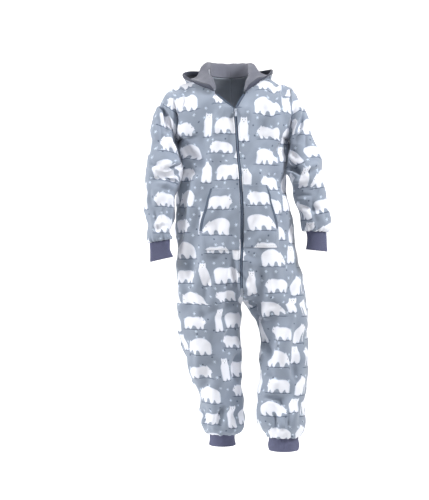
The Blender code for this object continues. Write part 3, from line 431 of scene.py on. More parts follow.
SLEEVE_CREASES = columns("""
face   x0   z0   x1   z1 wide deep bend ridge
  -1 -252  -88 -243 -172    7    7    3   0.9
  -1 -222 -200 -198 -262    6  6.5    3   0.9
  -1 -212  -66 -192 -290    6  6.5    4   0.9
  -1 -234  -72 -203 -170    6  5.5   -4   0.8
  -1 -266  -80 -238 -160    6  4.5    3   0.8
  -1 -232 -150 -206 -235    6  4.5   -3   0.7
  -1  226 -110  207 -300    6    7   -4  -0.9
  -1  244  -60  226 -180    6    5    4  -0.8
  -1 -270 -130 -262 -232   10  4.5   -4   0.8
  -1 -186 -318 -252 -338  8.5    8    5   0.9
  -1 -190 -345 -286 -352  8.5    6   -6   0.8
  -1 -200 -382 -290 -368  8.5    6    5  -0.8
  -1 -206 -420 -262 -402    8  4.5    4   0.8
  -1 -302 -300 -262 -322    9    5    4   0.8
  -1 -225 -450 -248 -545    9    5    4   0.8
  -1 -286 -480 -274 -570    9  4.5   -4   0.8
  -1 -232 -540 -290 -560    8  4.5    4   0.8
  -1 -300 -400 -296 -470   10  3.5    3  -0.7
  -1  210 -322  262 -352  8.5  8.5   -4   0.9
  -1  214 -352  296 -366  8.5    6    6   0.8
  -1  226 -392  306 -384  8.5    6   -5  -0.8
  -1  236 -424  300 -424    8  4.5    4   0.8
  -1  330 -330  286 -350    9  4.5    4   0.8
  -1  262 -105  250 -200  8.5    6   -4   0.8
  -1  282 -160  280 -262   10  4.5    4   0.8
  -1  236  -60  232 -150  8.5    5   -4  -0.8
  -1  222 -222  240 -292    9    5    4   0.8
  -1  262 -470  322 -482  8.5    5    4   0.8
  -1  300 -452  318 -532   10    4    4   0.7
  -1  350 -460  352 -530    9    4    3  -0.8
   1 -190 -336 -280 -312    9    7    6   0.8
   1 -196 -372 -300 -352    9    6   -6   0.8
   1 -204 -410 -292 -420    9  5.5    5  -0.8
   1 -230 -490 -300 -520    9  4.5    4   0.8
   1 -246  -92 -232 -190    9  5.5    4   0.8
   1  212 -332  310 -318    9    7    6   0.8
   1  220 -372  330 -362    9    6   -6   0.8
   1  240 -412  330 -426    9  5.5    5  -0.8
   1  262 -500  346 -510    9  4.5    4   0.8
   1  258  -94  248 -194    9  5.5   -4   0.8""")

# Where the cloth stands out fuller: seen from the front, its middle, its reach and its height
PUFFS = columns("""
   x     z reach high
-238   -58    40    9
-275  -190    50    5
 236   -50    40    6
-205  -880   100   14
-165 -1110   110   11
-145 -1300    60    8""")
# How much fuller a panel is at its side, by height
SIDE_EASE = columns("""
    z left right
  100    0     0
 -120    0     0
 -170    3     4
 -213    8    12
 -226   13    19
 -255   12    15
 -290   11    11
 -350   11     4
 -410    9     0
 -470    0     0
-1400    0     0""")

# Waves that cross each other in the cloth: cycles a metre along X, Y and Z, and a phase
WAVES = (
    (4.1, 2.3, 5.2, 0.4), (-5.6, 3.1, 3.4, 1.9), (6.8, -2.2, -4.4, 3.1),
    (2.2, 5.4, 7.3, 4.6), (-7.9, 1.7, 6.1, 5.5), (3.3, -6.2, 9.1, 0.9))
RIPPLES = (
    (17.0, 9.0, 12.0, 0.2), (-13.0, 15.0, 19.0, 1.4), (22.0, -12.0, 8.0, 2.8),
    (-9.0, -18.0, 23.0, 4.1), (27.0, 6.0, -15.0, 5.2))
HANGS = (
    (8.3, 3.0, 1.3, 2.2), (-6.1, 5.2, 2.1, 0.7), (11.4, -4.2, -1.7, 5.0), (-9.7, 2.4, 3.1, 3.6))
WAVE_HIGH = 0.0048
RIPPLE_HIGH = 0.0008
HANG_HIGH = 0.0085
# The share of the hanging waves on an arm, and on a panel from its first edge to its side
ARM_HANG = 0.35
PANEL_HANG = ([0, 0.05, 0.14, 0.62, 0.90], [0.35, 0.45, 1, 1, 0.25])
# The hood lies flat on the shoulders, so the waves begin below and beside it
HOOD_FREE = {"below": -0.055, "beside": 0.135, "fade": 0.05}
# and they end above a cuff's seam
CUFF_CALM = 0.008
CUFF_FADE = 0.020
# Gathers above a cuff: how far up they reach, where they fade out at its seam, how high they
# are, how many go round, and what shifts them
ARM_GATHERS = {"reach": 0.046, "last": 0.014, "high": 0.0046, "folds": (13, 21, 8), "seed": 1.7}
LEG_GATHERS = {"reach": 0.048, "last": 0.010, "high": 0.0038, "folds": (13, 22, 8), "seed": 2.3}
GATHER_SHARES = (0.55, 0.45, 0.35)

# The rolled edges of a wall: how far the roll reaches, in how many rows at most, and how much
# of the wall's thickness it takes from each side; and the edges, as an axis and its start or end
ROLL_REACH = 0.0032
ROLL_ROWS = 8
ROLL_SHARE = 0.46
ENDS = ((0, True), (0, False))
ALL_EDGES = ENDS + ((1, True), (1, False))

FRONT = np.array([0.0, -1.0, 0.0])


def tucked(start, length, rows):
    """The runs of the rows that tuck in to a cuff, closer towards it."""
    return start + length * (1 - (1 - np.linspace(0, 1, rows + 1)[1:]) ** 1.4)


# The rows of a panel: the share risen, the level, or the run down the leg
RISES = np.sin(np.linspace(math.pi / 2, 0, YOKE_ROWS + 1))[:-1]
LEVELS = np.linspace(UNDERARM_Z, TRUNK["z"][-1], TRUNK_ROWS + 1)[:-1]
RUNS = np.concatenate([np.linspace(0.0, LEG_RUN - TUCK_RUN, LEG_ROWS - TUCK_ROWS),
                       tucked(LEG_RUN - TUCK_RUN, TUCK_RUN, TUCK_ROWS)])


def unit(vectors):
    """Vectors made 1 long."""
    return vectors / np.linalg.norm(vectors, axis=-1, keepdims=True)


def summed(steps, axis=0):
    """Running sums along an axis, from 0 on."""
    start = np.zeros_like(np.take(steps, [0], axis=axis))
    return np.concatenate([start, np.cumsum(steps, axis=axis)], axis=axis)


def curve(table, key, name, at):
    """A smooth curve through a column of a table, read at values of its key column."""
    order = np.argsort(table[key])
    keys = table[key][order].astype(float)
    values = table[name][order].astype(float)
    slopes = np.gradient(values, keys)
    at = np.clip(np.asarray(at, dtype=float), keys[0], keys[-1])
    i = np.clip(np.searchsorted(keys, at, side="right") - 1, 0, len(keys) - 2)
    span = keys[i + 1] - keys[i]
    t = (at - keys[i]) / span
    rise = values[i + 1] - values[i]
    ease = t * t * (3 - 2 * t)
    lead = t * (1 - t) ** 2 * slopes[i] * span
    trail = t * t * (1 - t) * slopes[i + 1] * span
    return values[i] + rise * ease + lead - trail


def side_name(side):
    return "left" if side < 0 else "right"


def lobe_row(side, face, section, first, shares):
    """Points round one lobe of a section, from its inner angle to the side seam."""
    angles = first + (math.pi - first) * shares
    across = section["lobe"] - side * section["half"] * np.cos(angles)
    depth = section["front"] if face < 0 else section["back"]
    deep = section["mid"] + face * depth * np.sin(angles)
    return np.stack([across, deep, np.full(len(shares), section["z"])], axis=1)


def trunk_row(side, face, z, shares):
    """A row of a front or a back between the underarm and the crotch.

    It is level between the two legs' crests, and arches down between them at the crotch."""
    middle = curve(TRUNK, "z", "zip" if face < 0 else "spine", z)
    reach = abs(curve(TRUNK, "z", side_name(side), z) - middle)
    fork = float(np.clip(curve(TRUNK, "z", "fork", z), 0.0, 0.5))
    section = {
        "z": z,
        "lobe": middle + side * fork * reach,
        "half": reach * (1 - fork),
        "mid": 0.0,
        "front": curve(TRUNK, "z", "front", z),
        "back": curve(TRUNK, "z", "back", z)}
    row = lobe_row(side, face, section, math.acos(min(1.0, fork / (1 - fork))), shares)
    if fork > 0:
        inside = np.clip(1 - side * (row[:, 0] - middle) / (fork * reach), 0, 1)
        top = ARCH_SIDE_Z + (ARCH_Z - ARCH_SIDE_Z) * inside
        gone = np.clip((top - z) / (top - TRUNK["z"][-1]), 0, 1)
        gone = gone * gone * (3 - 2 * gone)
        depth = face * (section["front"] if face < 0 else section["back"])
        row[:, 1] = np.where(inside > 0, depth * np.sqrt(1 - gone * inside ** 2), row[:, 1])
    return row


def leg_row(side, face, run, shares):
    """A row of a leg: its section is a whole loop, from the inseam to the outseam."""
    table = LEGS[side]
    outer = curve(table, "run", "outer", run)
    inner = curve(table, "run", "inner", run)
    section = {name: curve(table, "run", name, run) for name in ("z", "mid", "front", "back")}
    section["lobe"] = (outer + inner) / 2
    section["half"] = abs(outer - inner) / 2
    return lobe_row(side, face, section, 0.0, shares)


def yoke_height(x, rise):
    """The level that is the given share of the way up from the underarm to the shoulder."""
    return UNDERARM_Z + rise * (curve(SHOULDER, "x", "z", x) - UNDERARM_Z)


def on_edge(table, side, rise, x):
    """Where a level that rises to the shoulder line meets an edge that a table gives."""
    for _ in range(12):
        x = float(curve(table, "z", side_name(side), yoke_height(x, rise)))
    return x


def yoke_row(side, face, rise, shares):
    """A row between the underarm and the shoulder seam, edge of the neck to armhole."""
    middle = TRUNK["zip" if face < 0 else "spine"][0] * (1 - rise)
    end = on_edge(ARMHOLE, side, rise, side * ARMHOLE_X)
    reach = abs(end - middle) * (1 + SHOULDER_FLAT * rise ** 0.7)
    first = middle
    if face < 0 and yoke_height(middle, rise) > ZIP_TOP_Z:
        first = on_edge(NECKLINE, side, rise, side * NECKLINE_X)
    if face > 0 and rise > BACK_NECK:
        spread = math.sqrt((rise - BACK_NECK) / (1 - BACK_NECK))
        first = middle + (on_edge(NECKLINE, side, 1.0, side * NECKLINE_X) - middle) * spread
    start, stop = math.asin((first - middle) / reach), math.asin((end - middle) / reach)
    angles = start + (stop - start) * shares
    across = middle + reach * np.sin(angles)
    name, squareness = ("front", CHEST_ROUND) if face < 0 else ("back", BACK_ROUND)
    depth = TRUNK[name][0] * (1 - rise ** squareness) ** DEPTH_ROUND
    return np.stack([across, face * depth * np.cos(angles), yoke_height(across, rise)], axis=1)


def body_panel(side, face):
    """The points of a front or a back, from the shoulder seam down to the ankle cuff."""
    return np.array([row(side, face, at, SHARES) for row, places in (
        (yoke_row, RISES), (trunk_row, LEVELS), (leg_row, RUNS)) for at in places])


def neck_at(turn, side, front, back):
    """The neckline's radius and height at a turn round the neck, from the panels' edges."""
    points = [row[0] for row in front[YOKE_ROWS - 1::-1] if row[0][2] > HOOD_CORNER_Z - 0.03]
    points += [row[0] for row, rise in zip(back, RISES) if rise > BACK_NECK]
    points.append(yoke_row(side, 1, BACK_NECK, SHARES)[0])
    points = np.array(points)
    turns = np.degrees(np.arctan2(np.abs(points[:, 0] - NECK_X), -points[:, 1]))
    order = np.argsort(turns)
    radii = np.hypot(points[:, 0] - NECK_X, points[:, 1])
    return [np.interp(turn, turns[order], values[order]) for values in (radii, points[:, 2])]


def hood_section(side, turn, front, back):
    """A fine polyline through the hood's section at one turn round the neck, and how far
    along it the section's named points lie."""
    radius, height = neck_at(turn, side, front, back)
    aside = corner = 0.0
    if side > 0:
        aside = math.sin(math.radians(turn)) ** (2 if turn < 90 else 10)
        corner = max(0.0, 1 - (turn - HOOD["turn"][0]) / CORNER_TURN)
    pairs = [(radius, height + HOOD_RISE)]
    for name in ("crest", "fold", "dip", "belly", "rim"):
        outside = 0.0 if name == "crest" else aside
        r = float(curve(HOOD, "turn", name + "_r", turn)) * (1 - (1 - RIGHT_REACH) * outside)
        z = float(curve(HOOD, "turn", name + "_z", turn)) + RIGHT_LIFT * outside
        pairs.append((r + RIGHT_CORNER[0] * corner, z + RIGHT_CORNER[1] * corner))
    pairs = np.array(pairs)
    keys = summed(np.sqrt(np.hypot(*np.diff(pairs, axis=0).T)))
    table = {"key": keys, "r": pairs[:, 0], "z": pairs[:, 1]}
    at = np.linspace(0, keys[-1], HOOD_FINE)
    r, z = curve(table, "key", "r", at), curve(table, "key", "z", at)
    angle = math.radians(turn)
    line = np.stack([NECK_X + side * r * math.sin(angle), -r * math.cos(angle), z], axis=1)
    return line, np.interp(keys, at, travelled(line))


def travelled(line):
    """How far along a polyline each of its points lies."""
    return summed(np.linalg.norm(np.diff(line, axis=0), axis=1))


def resample(line, distances):
    """Points at given distances along a polyline."""
    return np.stack([np.interp(distances, travelled(line), line[:, i]) for i in range(3)], axis=1)


def hood_grid(side, front, back):
    """The hood from its front corner to the middle of the back, and its hem's band."""
    cloth, band = [], []
    for turn in np.linspace(HOOD["turn"][0], 180, HOOD_STATIONS):
        line, marks = hood_section(side, turn, front, back)
        total = marks[-1]
        hem = min(HOOD_HEM, total * HEM_SHARE)
        end = total - hem - HEM_GAP
        left = np.arange(len(marks) - 1, -1, -1)
        marks = np.minimum(marks, end * (1 - PART_SHARE * left))
        marks[-1] = end
        spots = np.interp(np.arange(sum(HOOD_PARTS) + 1), np.cumsum((0,) + HOOD_PARTS), marks)
        cloth.append(resample(line, spots))
        band.append(resample(line, np.linspace(total - hem, total, BAND_COLUMNS)))
    return np.array(cloth), np.array(band)


def corner_normals(grid, closed):
    """The normal at each corner of each quad of a grid, weighted by the corner's angle."""
    right = np.roll(grid, -1, axis=1) if closed else grid[:, 1:]
    left = grid if closed else grid[:, :-1]
    found = []
    for low in (False, True):
        along = (right - left)[1:] if low else (right - left)[:-1]
        for far in (False, True):
            down = (right[1:] - right[:-1]) if far else (left[1:] - left[:-1])
            normal = np.cross(along, down)
            size = np.linalg.norm(normal, axis=2, keepdims=True)
            lean = np.arctan2(size, (along * down).sum(axis=2, keepdims=True))
            angle = lean if low == far else math.pi - lean
            found.append((low, far, normal / np.maximum(size, 1e-12) * angle))
    return found


def shared_normals(grids):
    """Unit normals at each point of each grid, summed over every grid that meets there."""
    sums = {}
    keyed = {}
    for name, (grid, closed, flip) in grids.items():
        total = np.zeros_like(grid)
        for low, far, normals in corner_normals(grid, closed):
            rows = total[1:] if low else total[:-1]
            if closed:
                rows += np.roll(normals, 1 if far else 0, axis=1) * flip
            elif far:
                rows[:, 1:] += normals * flip
            else:
                rows[:, :-1] += normals * flip
        keyed[name] = [tuple(point) for point in np.round(grid.reshape(-1, 3) * 1e5).astype(int)]
        for key, value in zip(keyed[name], total.reshape(-1, 3)):
            sums[key] = sums.get(key, 0) + value
    return {name: unit(np.array([sums[key] for key in keyed[name]]).reshape(grid.shape))
            for name, (grid, _, _) in grids.items()}


def own_normals(grid, closed=False, flip=1):
    """Unit normals at each point of one grid."""
    return shared_normals({"own": (grid, closed, flip)})["own"]


def folded(grid, normals, folds):
    """The grid with its folds raised or sunk along its normals."""
    out = np.zeros(grid.shape[:2])
    spot = grid[:, :, [0, 2]]
    for face, x0, z0, x1, z1, wide, high in zip(*folds.values()):
        start = np.array([x0, z0])
        way = np.array([x1, z1]) - start
        t = ((spot - start) @ way) / (way @ way)
        nearest = start + np.clip(t, 0, 1)[:, :, None] * way
        gap = np.linalg.norm(spot - nearest, axis=2)
        taper = np.clip(1.15 - np.abs(2 * np.clip(t, -0.3, 1.3) - 1) ** 3, 0, 1)
        facing = np.clip(face * normals[:, :, 1] * 1.6, 0, 1)
        out += high * np.exp(-(gap / wide) ** 2) * taper * facing
    return grid + out[:, :, None] * normals


def draw_back(near, far, pulls, closed):
    """The two grids of a wall, drawn back from their edges: top, bottom, start and end."""
    near, far = near.copy(), far.copy()
    for grid in (near, far):
        edges = [(grid[0], grid[1]), (grid[-1], grid[-2])]
        if not closed:
            edges += [(grid[:, 0], grid[:, 1]), (grid[:, -1], grid[:, -2])]
        for (edge, inside), pull in zip(edges, pulls):
            edge += unit(inside - edge) * pull
    return near, far


def zip_pull(panel):
    """How far each row of a front stays off its first edge: clear of the zip, or a seam."""
    z = panel[:, 0, 2]
    above = np.clip((HOOD_CORNER_Z + FADE - z) / FADE, 0, 1)
    below = np.clip((z - ZIP_END_Z) / (1.6 * FADE) + 1, 0, 1)
    trunk = np.arange(len(panel)) < YOKE_ROWS + TRUNK_ROWS
    return SEAM / 2 + (ZIP_HALF - SEAM / 2) * above * below * trunk


def zip_levels(panel, low, high, clear=0.002):
    """How far down each row of a front's trunk is at its edge, and those rows that lie clear
    between two levels, with the levels themselves."""
    down = -panel[:YOKE_ROWS + TRUNK_ROWS, 0, 2]
    inner = down[(down > -high + clear) & (down < -low - clear)]
    return down, np.concatenate([[-high], inner, [-low]])


def zip_edge(panel, normals, low, high):
    """The zip's edge of a front between two levels, with its way inward and its normals."""
    down, at = zip_levels(panel, low, high)
    edge = panel[:, 0]
    return [np.stack([np.interp(at, down, values[:len(down), i]) for i in range(3)], axis=1)
            for values in (edge, unit(panel[:, 1] - edge), normals[:, 0])]


def along_zip(panel, normals, spots, low, high):
    """Points of a front at given distances from its zip, between two levels, and their normals."""
    down, at = zip_levels(panel, low, high)
    found = []
    for values in (panel, normals):
        rows = np.array([[np.interp(spots, travelled(line), row[:, i]) for i in range(3)]
                         for line, row in zip(panel[:len(down)], values[:len(down)])])
        found.append(np.array([[np.interp(at, down, rows[:, i, j]) for i in range(3)]
                               for j in range(len(spots))]).transpose(2, 0, 1))
    return found


def armhole_loop(front, back):
    """An armhole's points, from the shoulder down the front and up the back."""
    return np.concatenate([front[:YOKE_ROWS + 1, -1], back[YOKE_ROWS - 1:0:-1, -1]])


def sleeve_tube(side, front, back):
    """The rings of a sleeve: the armhole's own points, then sections down to the cuff."""
    loop = armhole_loop(front, back)
    table = SLEEVES[side]
    top, bottom = loop[0], loop[YOKE_ROWS]
    axis = (top - bottom) / 2
    middle = (top + bottom) / 2
    share = (loop - middle) @ axis / (axis @ axis)
    aside = loop - middle - np.outer(share, axis)
    depth = np.abs(loop[:, 1]).max()
    spread = np.arctan2(-loop[:, 1] / depth, share)
    spread = np.where(spread < -1e-6, spread + 2 * math.pi, spread)
    even = np.linspace(0, 2 * math.pi, len(loop), endpoint=False)
    last = table["run"][-1] - SLEEVE_TUCK
    runs = np.concatenate([
        [0.0015, 0.004, 0.008], np.linspace(0.012, last, SLEEVE_RINGS - 4 - SLEEVE_TUCK_RINGS),
        tucked(last, SLEEVE_TUCK, SLEEVE_TUCK_RINGS)])
    rings = [loop]
    for run in runs:
        blend = float(np.interp(run, *SLEEVE_BLEND))
        at = {name: curve(table, "run", name, run) for name in table}
        outer = np.array([at["outer"], at["mid"], at["outer_z"]])
        inner = np.array([at["inner"], at["mid"], at["inner_z"]])
        angle = spread * (1 - blend) + even * blend
        along = share * (1 - blend) + np.cos(angle) * blend
        ring = (outer + inner) / 2 + np.outer(along, (outer - inner) / 2)
        ring[:, 1] += loop[:, 1] * (1 - blend) - at["deep"] * np.sin(angle) * blend
        ring[:, 0] += aside[:, 0] * (1 - blend) ** 2
        rings.append(ring)
    return np.array(rings)


def creased(grid, normals, creases):
    """The grid with its creases: each is a trough with a softer ridge along one of its sides."""
    out = np.zeros(grid.shape[:2])
    spot = grid[:, :, [0, 2]]
    for face, x0, z0, x1, z1, wide, deep, bend, ridge in zip(*creases.values()):
        start = np.array([x0, z0])
        way = np.array([x1, z1]) - start
        length = np.linalg.norm(way)
        reach = spot - start
        t = (reach @ way) / length ** 2
        inner = np.clip(t, 0, 1)
        cross = (reach[:, :, 0] * way[1] - reach[:, :, 1] * way[0]) / length
        cross = cross - bend * 4 * inner * (1 - inner)
        past = np.maximum(np.maximum(-t, t - 1), 0) * length
        near = np.exp(-(np.hypot(cross, past) / wide) ** 2)
        beside = (cross - np.sign(ridge) * RIDGE_ASIDE * wide) / (RIDGE_WIDE * wide)
        side = np.exp(-beside ** 2 - (past / wide) ** 2)
        taper = np.clip(1.1 - np.abs(2 * inner - 1) ** 2.5, 0, 1)
        facing = np.clip(face * normals[:, :, 1] * 2.0, 0, 1)
        deep = deep * (CREASE_FRONT if face < 0 else CREASE_BACK)
        out += deep * (abs(ridge) * side - near) * taper * facing
    return grid + out[:, :, None] * normals


def rippled(points, waves, size):
    """A soft height at each point from waves that cross each other, the same for every piece."""
    total = np.zeros(points.shape[:-1])
    for x, y, z, phase in waves:
        total += np.sin(points @ (np.array([x, y, z]) * 2 * math.pi) + phase)
    return total * size / math.sqrt(len(waves))


def off_end(grid):
    """How far each row of a grid is from its last one, along the cloth."""
    steps = np.linalg.norm(np.diff(grid, axis=0), axis=2).mean(axis=1)
    return summed(steps[::-1])[::-1]


def gathered(grid, normals, closed, side, reach, last, high, folds, seed):
    """The grid with gathers that fade out within reach of its last rows, where a cuff holds it."""
    from_end = off_end(grid)
    angle = np.linspace(0, 2 * math.pi if closed else math.pi, grid.shape[1], endpoint=not closed)
    wave = np.zeros(grid.shape[1])
    for k, (turns, share) in enumerate(zip(folds, GATHER_SHARES)):
        wave += share * np.cos(turns * angle + seed * side * (k + 1.3))
    swell = np.clip(1 - from_end / reach, 0, 1) ** 1.5 * np.clip(from_end / last, 0, 1)
    return grid + (swell[:, None] * wave * high)[:, :, None] * normals


def rolled(near, far, normals, edges):
    """The two grids of a wall with its edges rolled round, as where the cloth turns under."""
    thick = np.linalg.norm(near - far, axis=2)
    sink = np.zeros(near.shape[:2])
    for axis, start in edges:
        line = near if axis == 0 else near.transpose(1, 0, 2)
        line = line if start else line[::-1]
        away = summed(np.linalg.norm(np.diff(line[:ROLL_ROWS], axis=0), axis=2))
        share = np.clip(away / ROLL_REACH, 0, 1)
        patch = np.zeros(line.shape[:2])
        patch[:ROLL_ROWS] = 1 - np.sqrt(1 - (1 - share) ** 2)
        patch = patch if start else patch[::-1]
        sink = np.maximum(sink, patch if axis == 0 else patch.T)
    sink = (sink * thick * ROLL_SHARE)[:, :, None] * normals
    return near - sink, far + sink


def resampled(grid, normals, pull):
    """Each row of a grid started again at a distance from its first point."""
    new_grid, new_normals = np.empty_like(grid), np.empty_like(normals)
    for i, row in enumerate(grid):
        gone = travelled(row)
        at = pull[i] + (gone[-1] - pull[i]) * gone / gone[-1]
        for k in range(3):
            new_grid[i, :, k] = np.interp(at, gone, row[:, k])
            new_normals[i, :, k] = np.interp(at, gone, normals[i, :, k])
    return new_grid, unit(new_normals)


# ---- Meshes

def wall_faces(rows, count, closed):
    """The quads of a closed wall between two grids: its outside, its inside and its edges."""
    base = rows * count
    cells = count if closed else count - 1
    i, j = np.meshgrid(np.arange(rows - 1), np.arange(cells), indexing="ij")
    a = (i * count + j).ravel()
    b = (i * count + (j + 1) % count).ravel()
    c, d = b + count, a + count
    quads = [(a, d, c, b), (base + a, base + b, base + c, base + d)]
    a = np.arange(cells)
    b = (a + 1) % count
    low = (rows - 1) * count
    quads += [(a, b, base + b, base + a), (low + a, base + low + a, base + low + b, low + b)]
    if not closed:
        a = np.arange(rows - 1) * count
        d = a + count
        quads.append((a, base + a, base + d, d))
        a, d = a + count - 1, d + count - 1
        quads.append((a, d, base + d, base + a))
    return np.concatenate([np.stack(corners, axis=1) for corners in quads])


def wall(name, near, far, closed, flip, uvs, looks):
    """A closed wall between two grids: near is the outer side and takes the first look.

    uvs are the metres along the cloth at each point, one column more than a closed grid has."""
    rows, count = near.shape[:2]
    base = rows * count
    cells = count if closed else count - 1
    faces = wall_faces(rows, count, closed)
    if flip > 0:
        faces = faces[:, ::-1]
    points = np.concatenate([near.reshape(-1, 3), far.reshape(-1, 3)])
    mesh = fast_mesh(name, points, faces)
    outside = (rows - 1) * cells
    inner = np.zeros(len(faces), dtype=np.int32)
    inner[outside:2 * outside] = 1
    mesh.polygons.foreach_set("material_index", inner)
    wide = uvs.reshape(rows, -1, 2)
    seam = count // 2
    if closed:
        wide = wide.copy()
        whole = wide[:, -1:, 0] - wide[:, :1, 0]
        wide[:, seam + 1:, 0] -= whole
    spot = wide[:, :count].reshape(-1, 2)
    corners = np.concatenate([spot, spot])[faces.ravel()].reshape(-1, 4, 2)
    if closed:
        # the faces that close each ring read the column after the last
        for start in (0, outside):
            for k in range(rows - 1):
                for cell, column in ((cells - 1, 0), (seam, seam)):
                    f = start + k * cells + cell
                    for corner in range(4):
                        row, at = divmod(faces[f, corner] - (base if start else 0), count)
                        if at == column:
                            corners[f, corner] = wide[row, count] if column == 0 else (
                                wide[row, seam] - [whole[row, 0], 0.0])
    layer = mesh.uv_layers.new(name="cloth")
    layer.data.foreach_set("uv", corners.reshape(-1))
    return linked(name, mesh, looks)


def fast_mesh(name, points, faces, sharp=40):
    """A smooth mesh from arrays of points and of faces that all have as many corners."""
    mesh = bpy.data.meshes.new(name)
    size = faces.shape[1]
    mesh.vertices.add(len(points))
    mesh.vertices.foreach_set("co", points.reshape(-1))
    mesh.loops.add(faces.size)
    mesh.loops.foreach_set("vertex_index", faces.reshape(-1).astype(np.int32))
    mesh.polygons.add(len(faces))
    mesh.polygons.foreach_set("loop_start", np.arange(0, faces.size, size, dtype=np.int32))
    mesh.update(calc_edges=True)
    mesh.validate()
    mesh.shade_smooth()
    if sharp:
        mesh.set_sharp_from_angle(angle=math.radians(sharp))
    return mesh


def linked(name, mesh, looks):
    """A new object of the scene with its mesh and its looks."""
    piece = bpy.data.objects.new(name, mesh)
    bpy.context.scene.collection.objects.link(piece)
    for look in looks:
        mesh.materials.append(look)
    return piece


def placed(name, points, faces, look, sharp=40):
    return linked(name, fast_mesh(name, points, faces, sharp), (look,))


def across_rows(grid):
    """How far along its row each point of a grid lies."""
    return summed(np.linalg.norm(np.diff(grid, axis=1), axis=2), 1)


def cloth_uv(grid, closed):
    """Metres along the cloth: across from the middle of each row, and down its middle line."""
    if closed:
        return arm_uv(np.concatenate([grid, grid[:, :1]], axis=1))
    middle = min(MIDDLE, grid.shape[1] - 1)
    across = across_rows(grid)
    across = across - across[:, middle:middle + 1]
    drop = np.repeat(-travelled(grid[:, middle])[:, None], across.shape[1], axis=1)
    if len(grid) > YOKE_ROWS + TRUNK_ROWS:
        # on the yoke, each point's own way up and level are measured
        yoke = grid[:YOKE_ROWS + 1]
        lean = np.abs(own_normals(yoke)[:, :, 2])
        steep = np.sqrt(np.clip(1 - lean ** 2, 0.12, 1))
        steps = -np.diff(yoke[:, :, 2], axis=0) * 2 / (steep[1:] + steep[:-1])
        drop[:YOKE_ROWS + 1] = drop[YOKE_ROWS, middle] + summed(steps[::-1])[::-1]
        level = summed(np.hypot(*np.diff(yoke[:, :, :2], axis=1).transpose(2, 0, 1)), 1)
        outward = math.copysign(1.0, yoke[-1, -1, 0] - yoke[-1, 0, 0])
        shift = outward * (yoke[:, middle, 0] - yoke[-1, middle, 0])
        across[:YOKE_ROWS + 1] = level - level[:, middle:middle + 1] + shift[:, None]
    return np.stack([across, drop], axis=2)


def arm_uv(ring, reach=8):
    """Metres along a tube: round it from its first line, and along its own middle, whose way
    is smoothed over so many rings on each side."""
    middle = ring[:, :-1].mean(axis=1)
    share = np.ones(2 * reach + 1) / (2 * reach + 1)
    soft = np.stack([np.convolve(np.pad(middle[:, k], reach, mode="edge"), share, "valid")
                     for k in range(3)], axis=1)
    way = unit(np.gradient(soft, axis=0))[:, None]
    drop = travelled(middle)[:, None] + ((ring - middle[:, None]) * way).sum(axis=2)
    steps = np.diff(ring, axis=1)
    steps = steps - (steps * way).sum(axis=2)[:, :, None] * way
    return np.stack([summed(np.linalg.norm(steps, axis=2), 1), -drop], axis=2)


def hood_uv(grid):
    """Metres round the hood along its widest row, and across its section."""
    across = across_rows(grid)
    round_it = np.repeat(travelled(grid[:, grid.shape[1] // 2])[:, None], grid.shape[1], axis=1)
    return np.stack([round_it, across], axis=2)


def surface_area(grid, closed):
    ring = np.concatenate([grid, grid[:, :1]], axis=1) if closed else grid
    along = ring[:-1, 1:] - ring[:-1, :-1]
    down = ring[1:, :-1] - ring[:-1, :-1]
    return float(np.linalg.norm(np.cross(along, down), axis=2).sum())


def cut(grid, closed):
    """Works out the sheet that a piece was cut from, as wide and long as the cloth is now,
    or in those proportions a little larger than its area where that is more. The size is not used."""
    area = surface_area(grid, closed)
    size = [float(np.ptp(values)) for values in cloth_uv(grid, closed).transpose(2, 0, 1)]
    if size[0] * size[1] < area:
        grow = math.sqrt(area / (size[0] * size[1])) * 1.002
        size = [length * grow for length in size]


def finish_solid(piece, node):
    """Hides the solid that a piece stands for, and attaches the piece to what it moves with."""
    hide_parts(node)
    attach(piece, "garment")


def finish_sheet(piece, node, grid, closed=False):
    finish_solid(piece, node)
    cut(grid, closed)


# ---- Looks

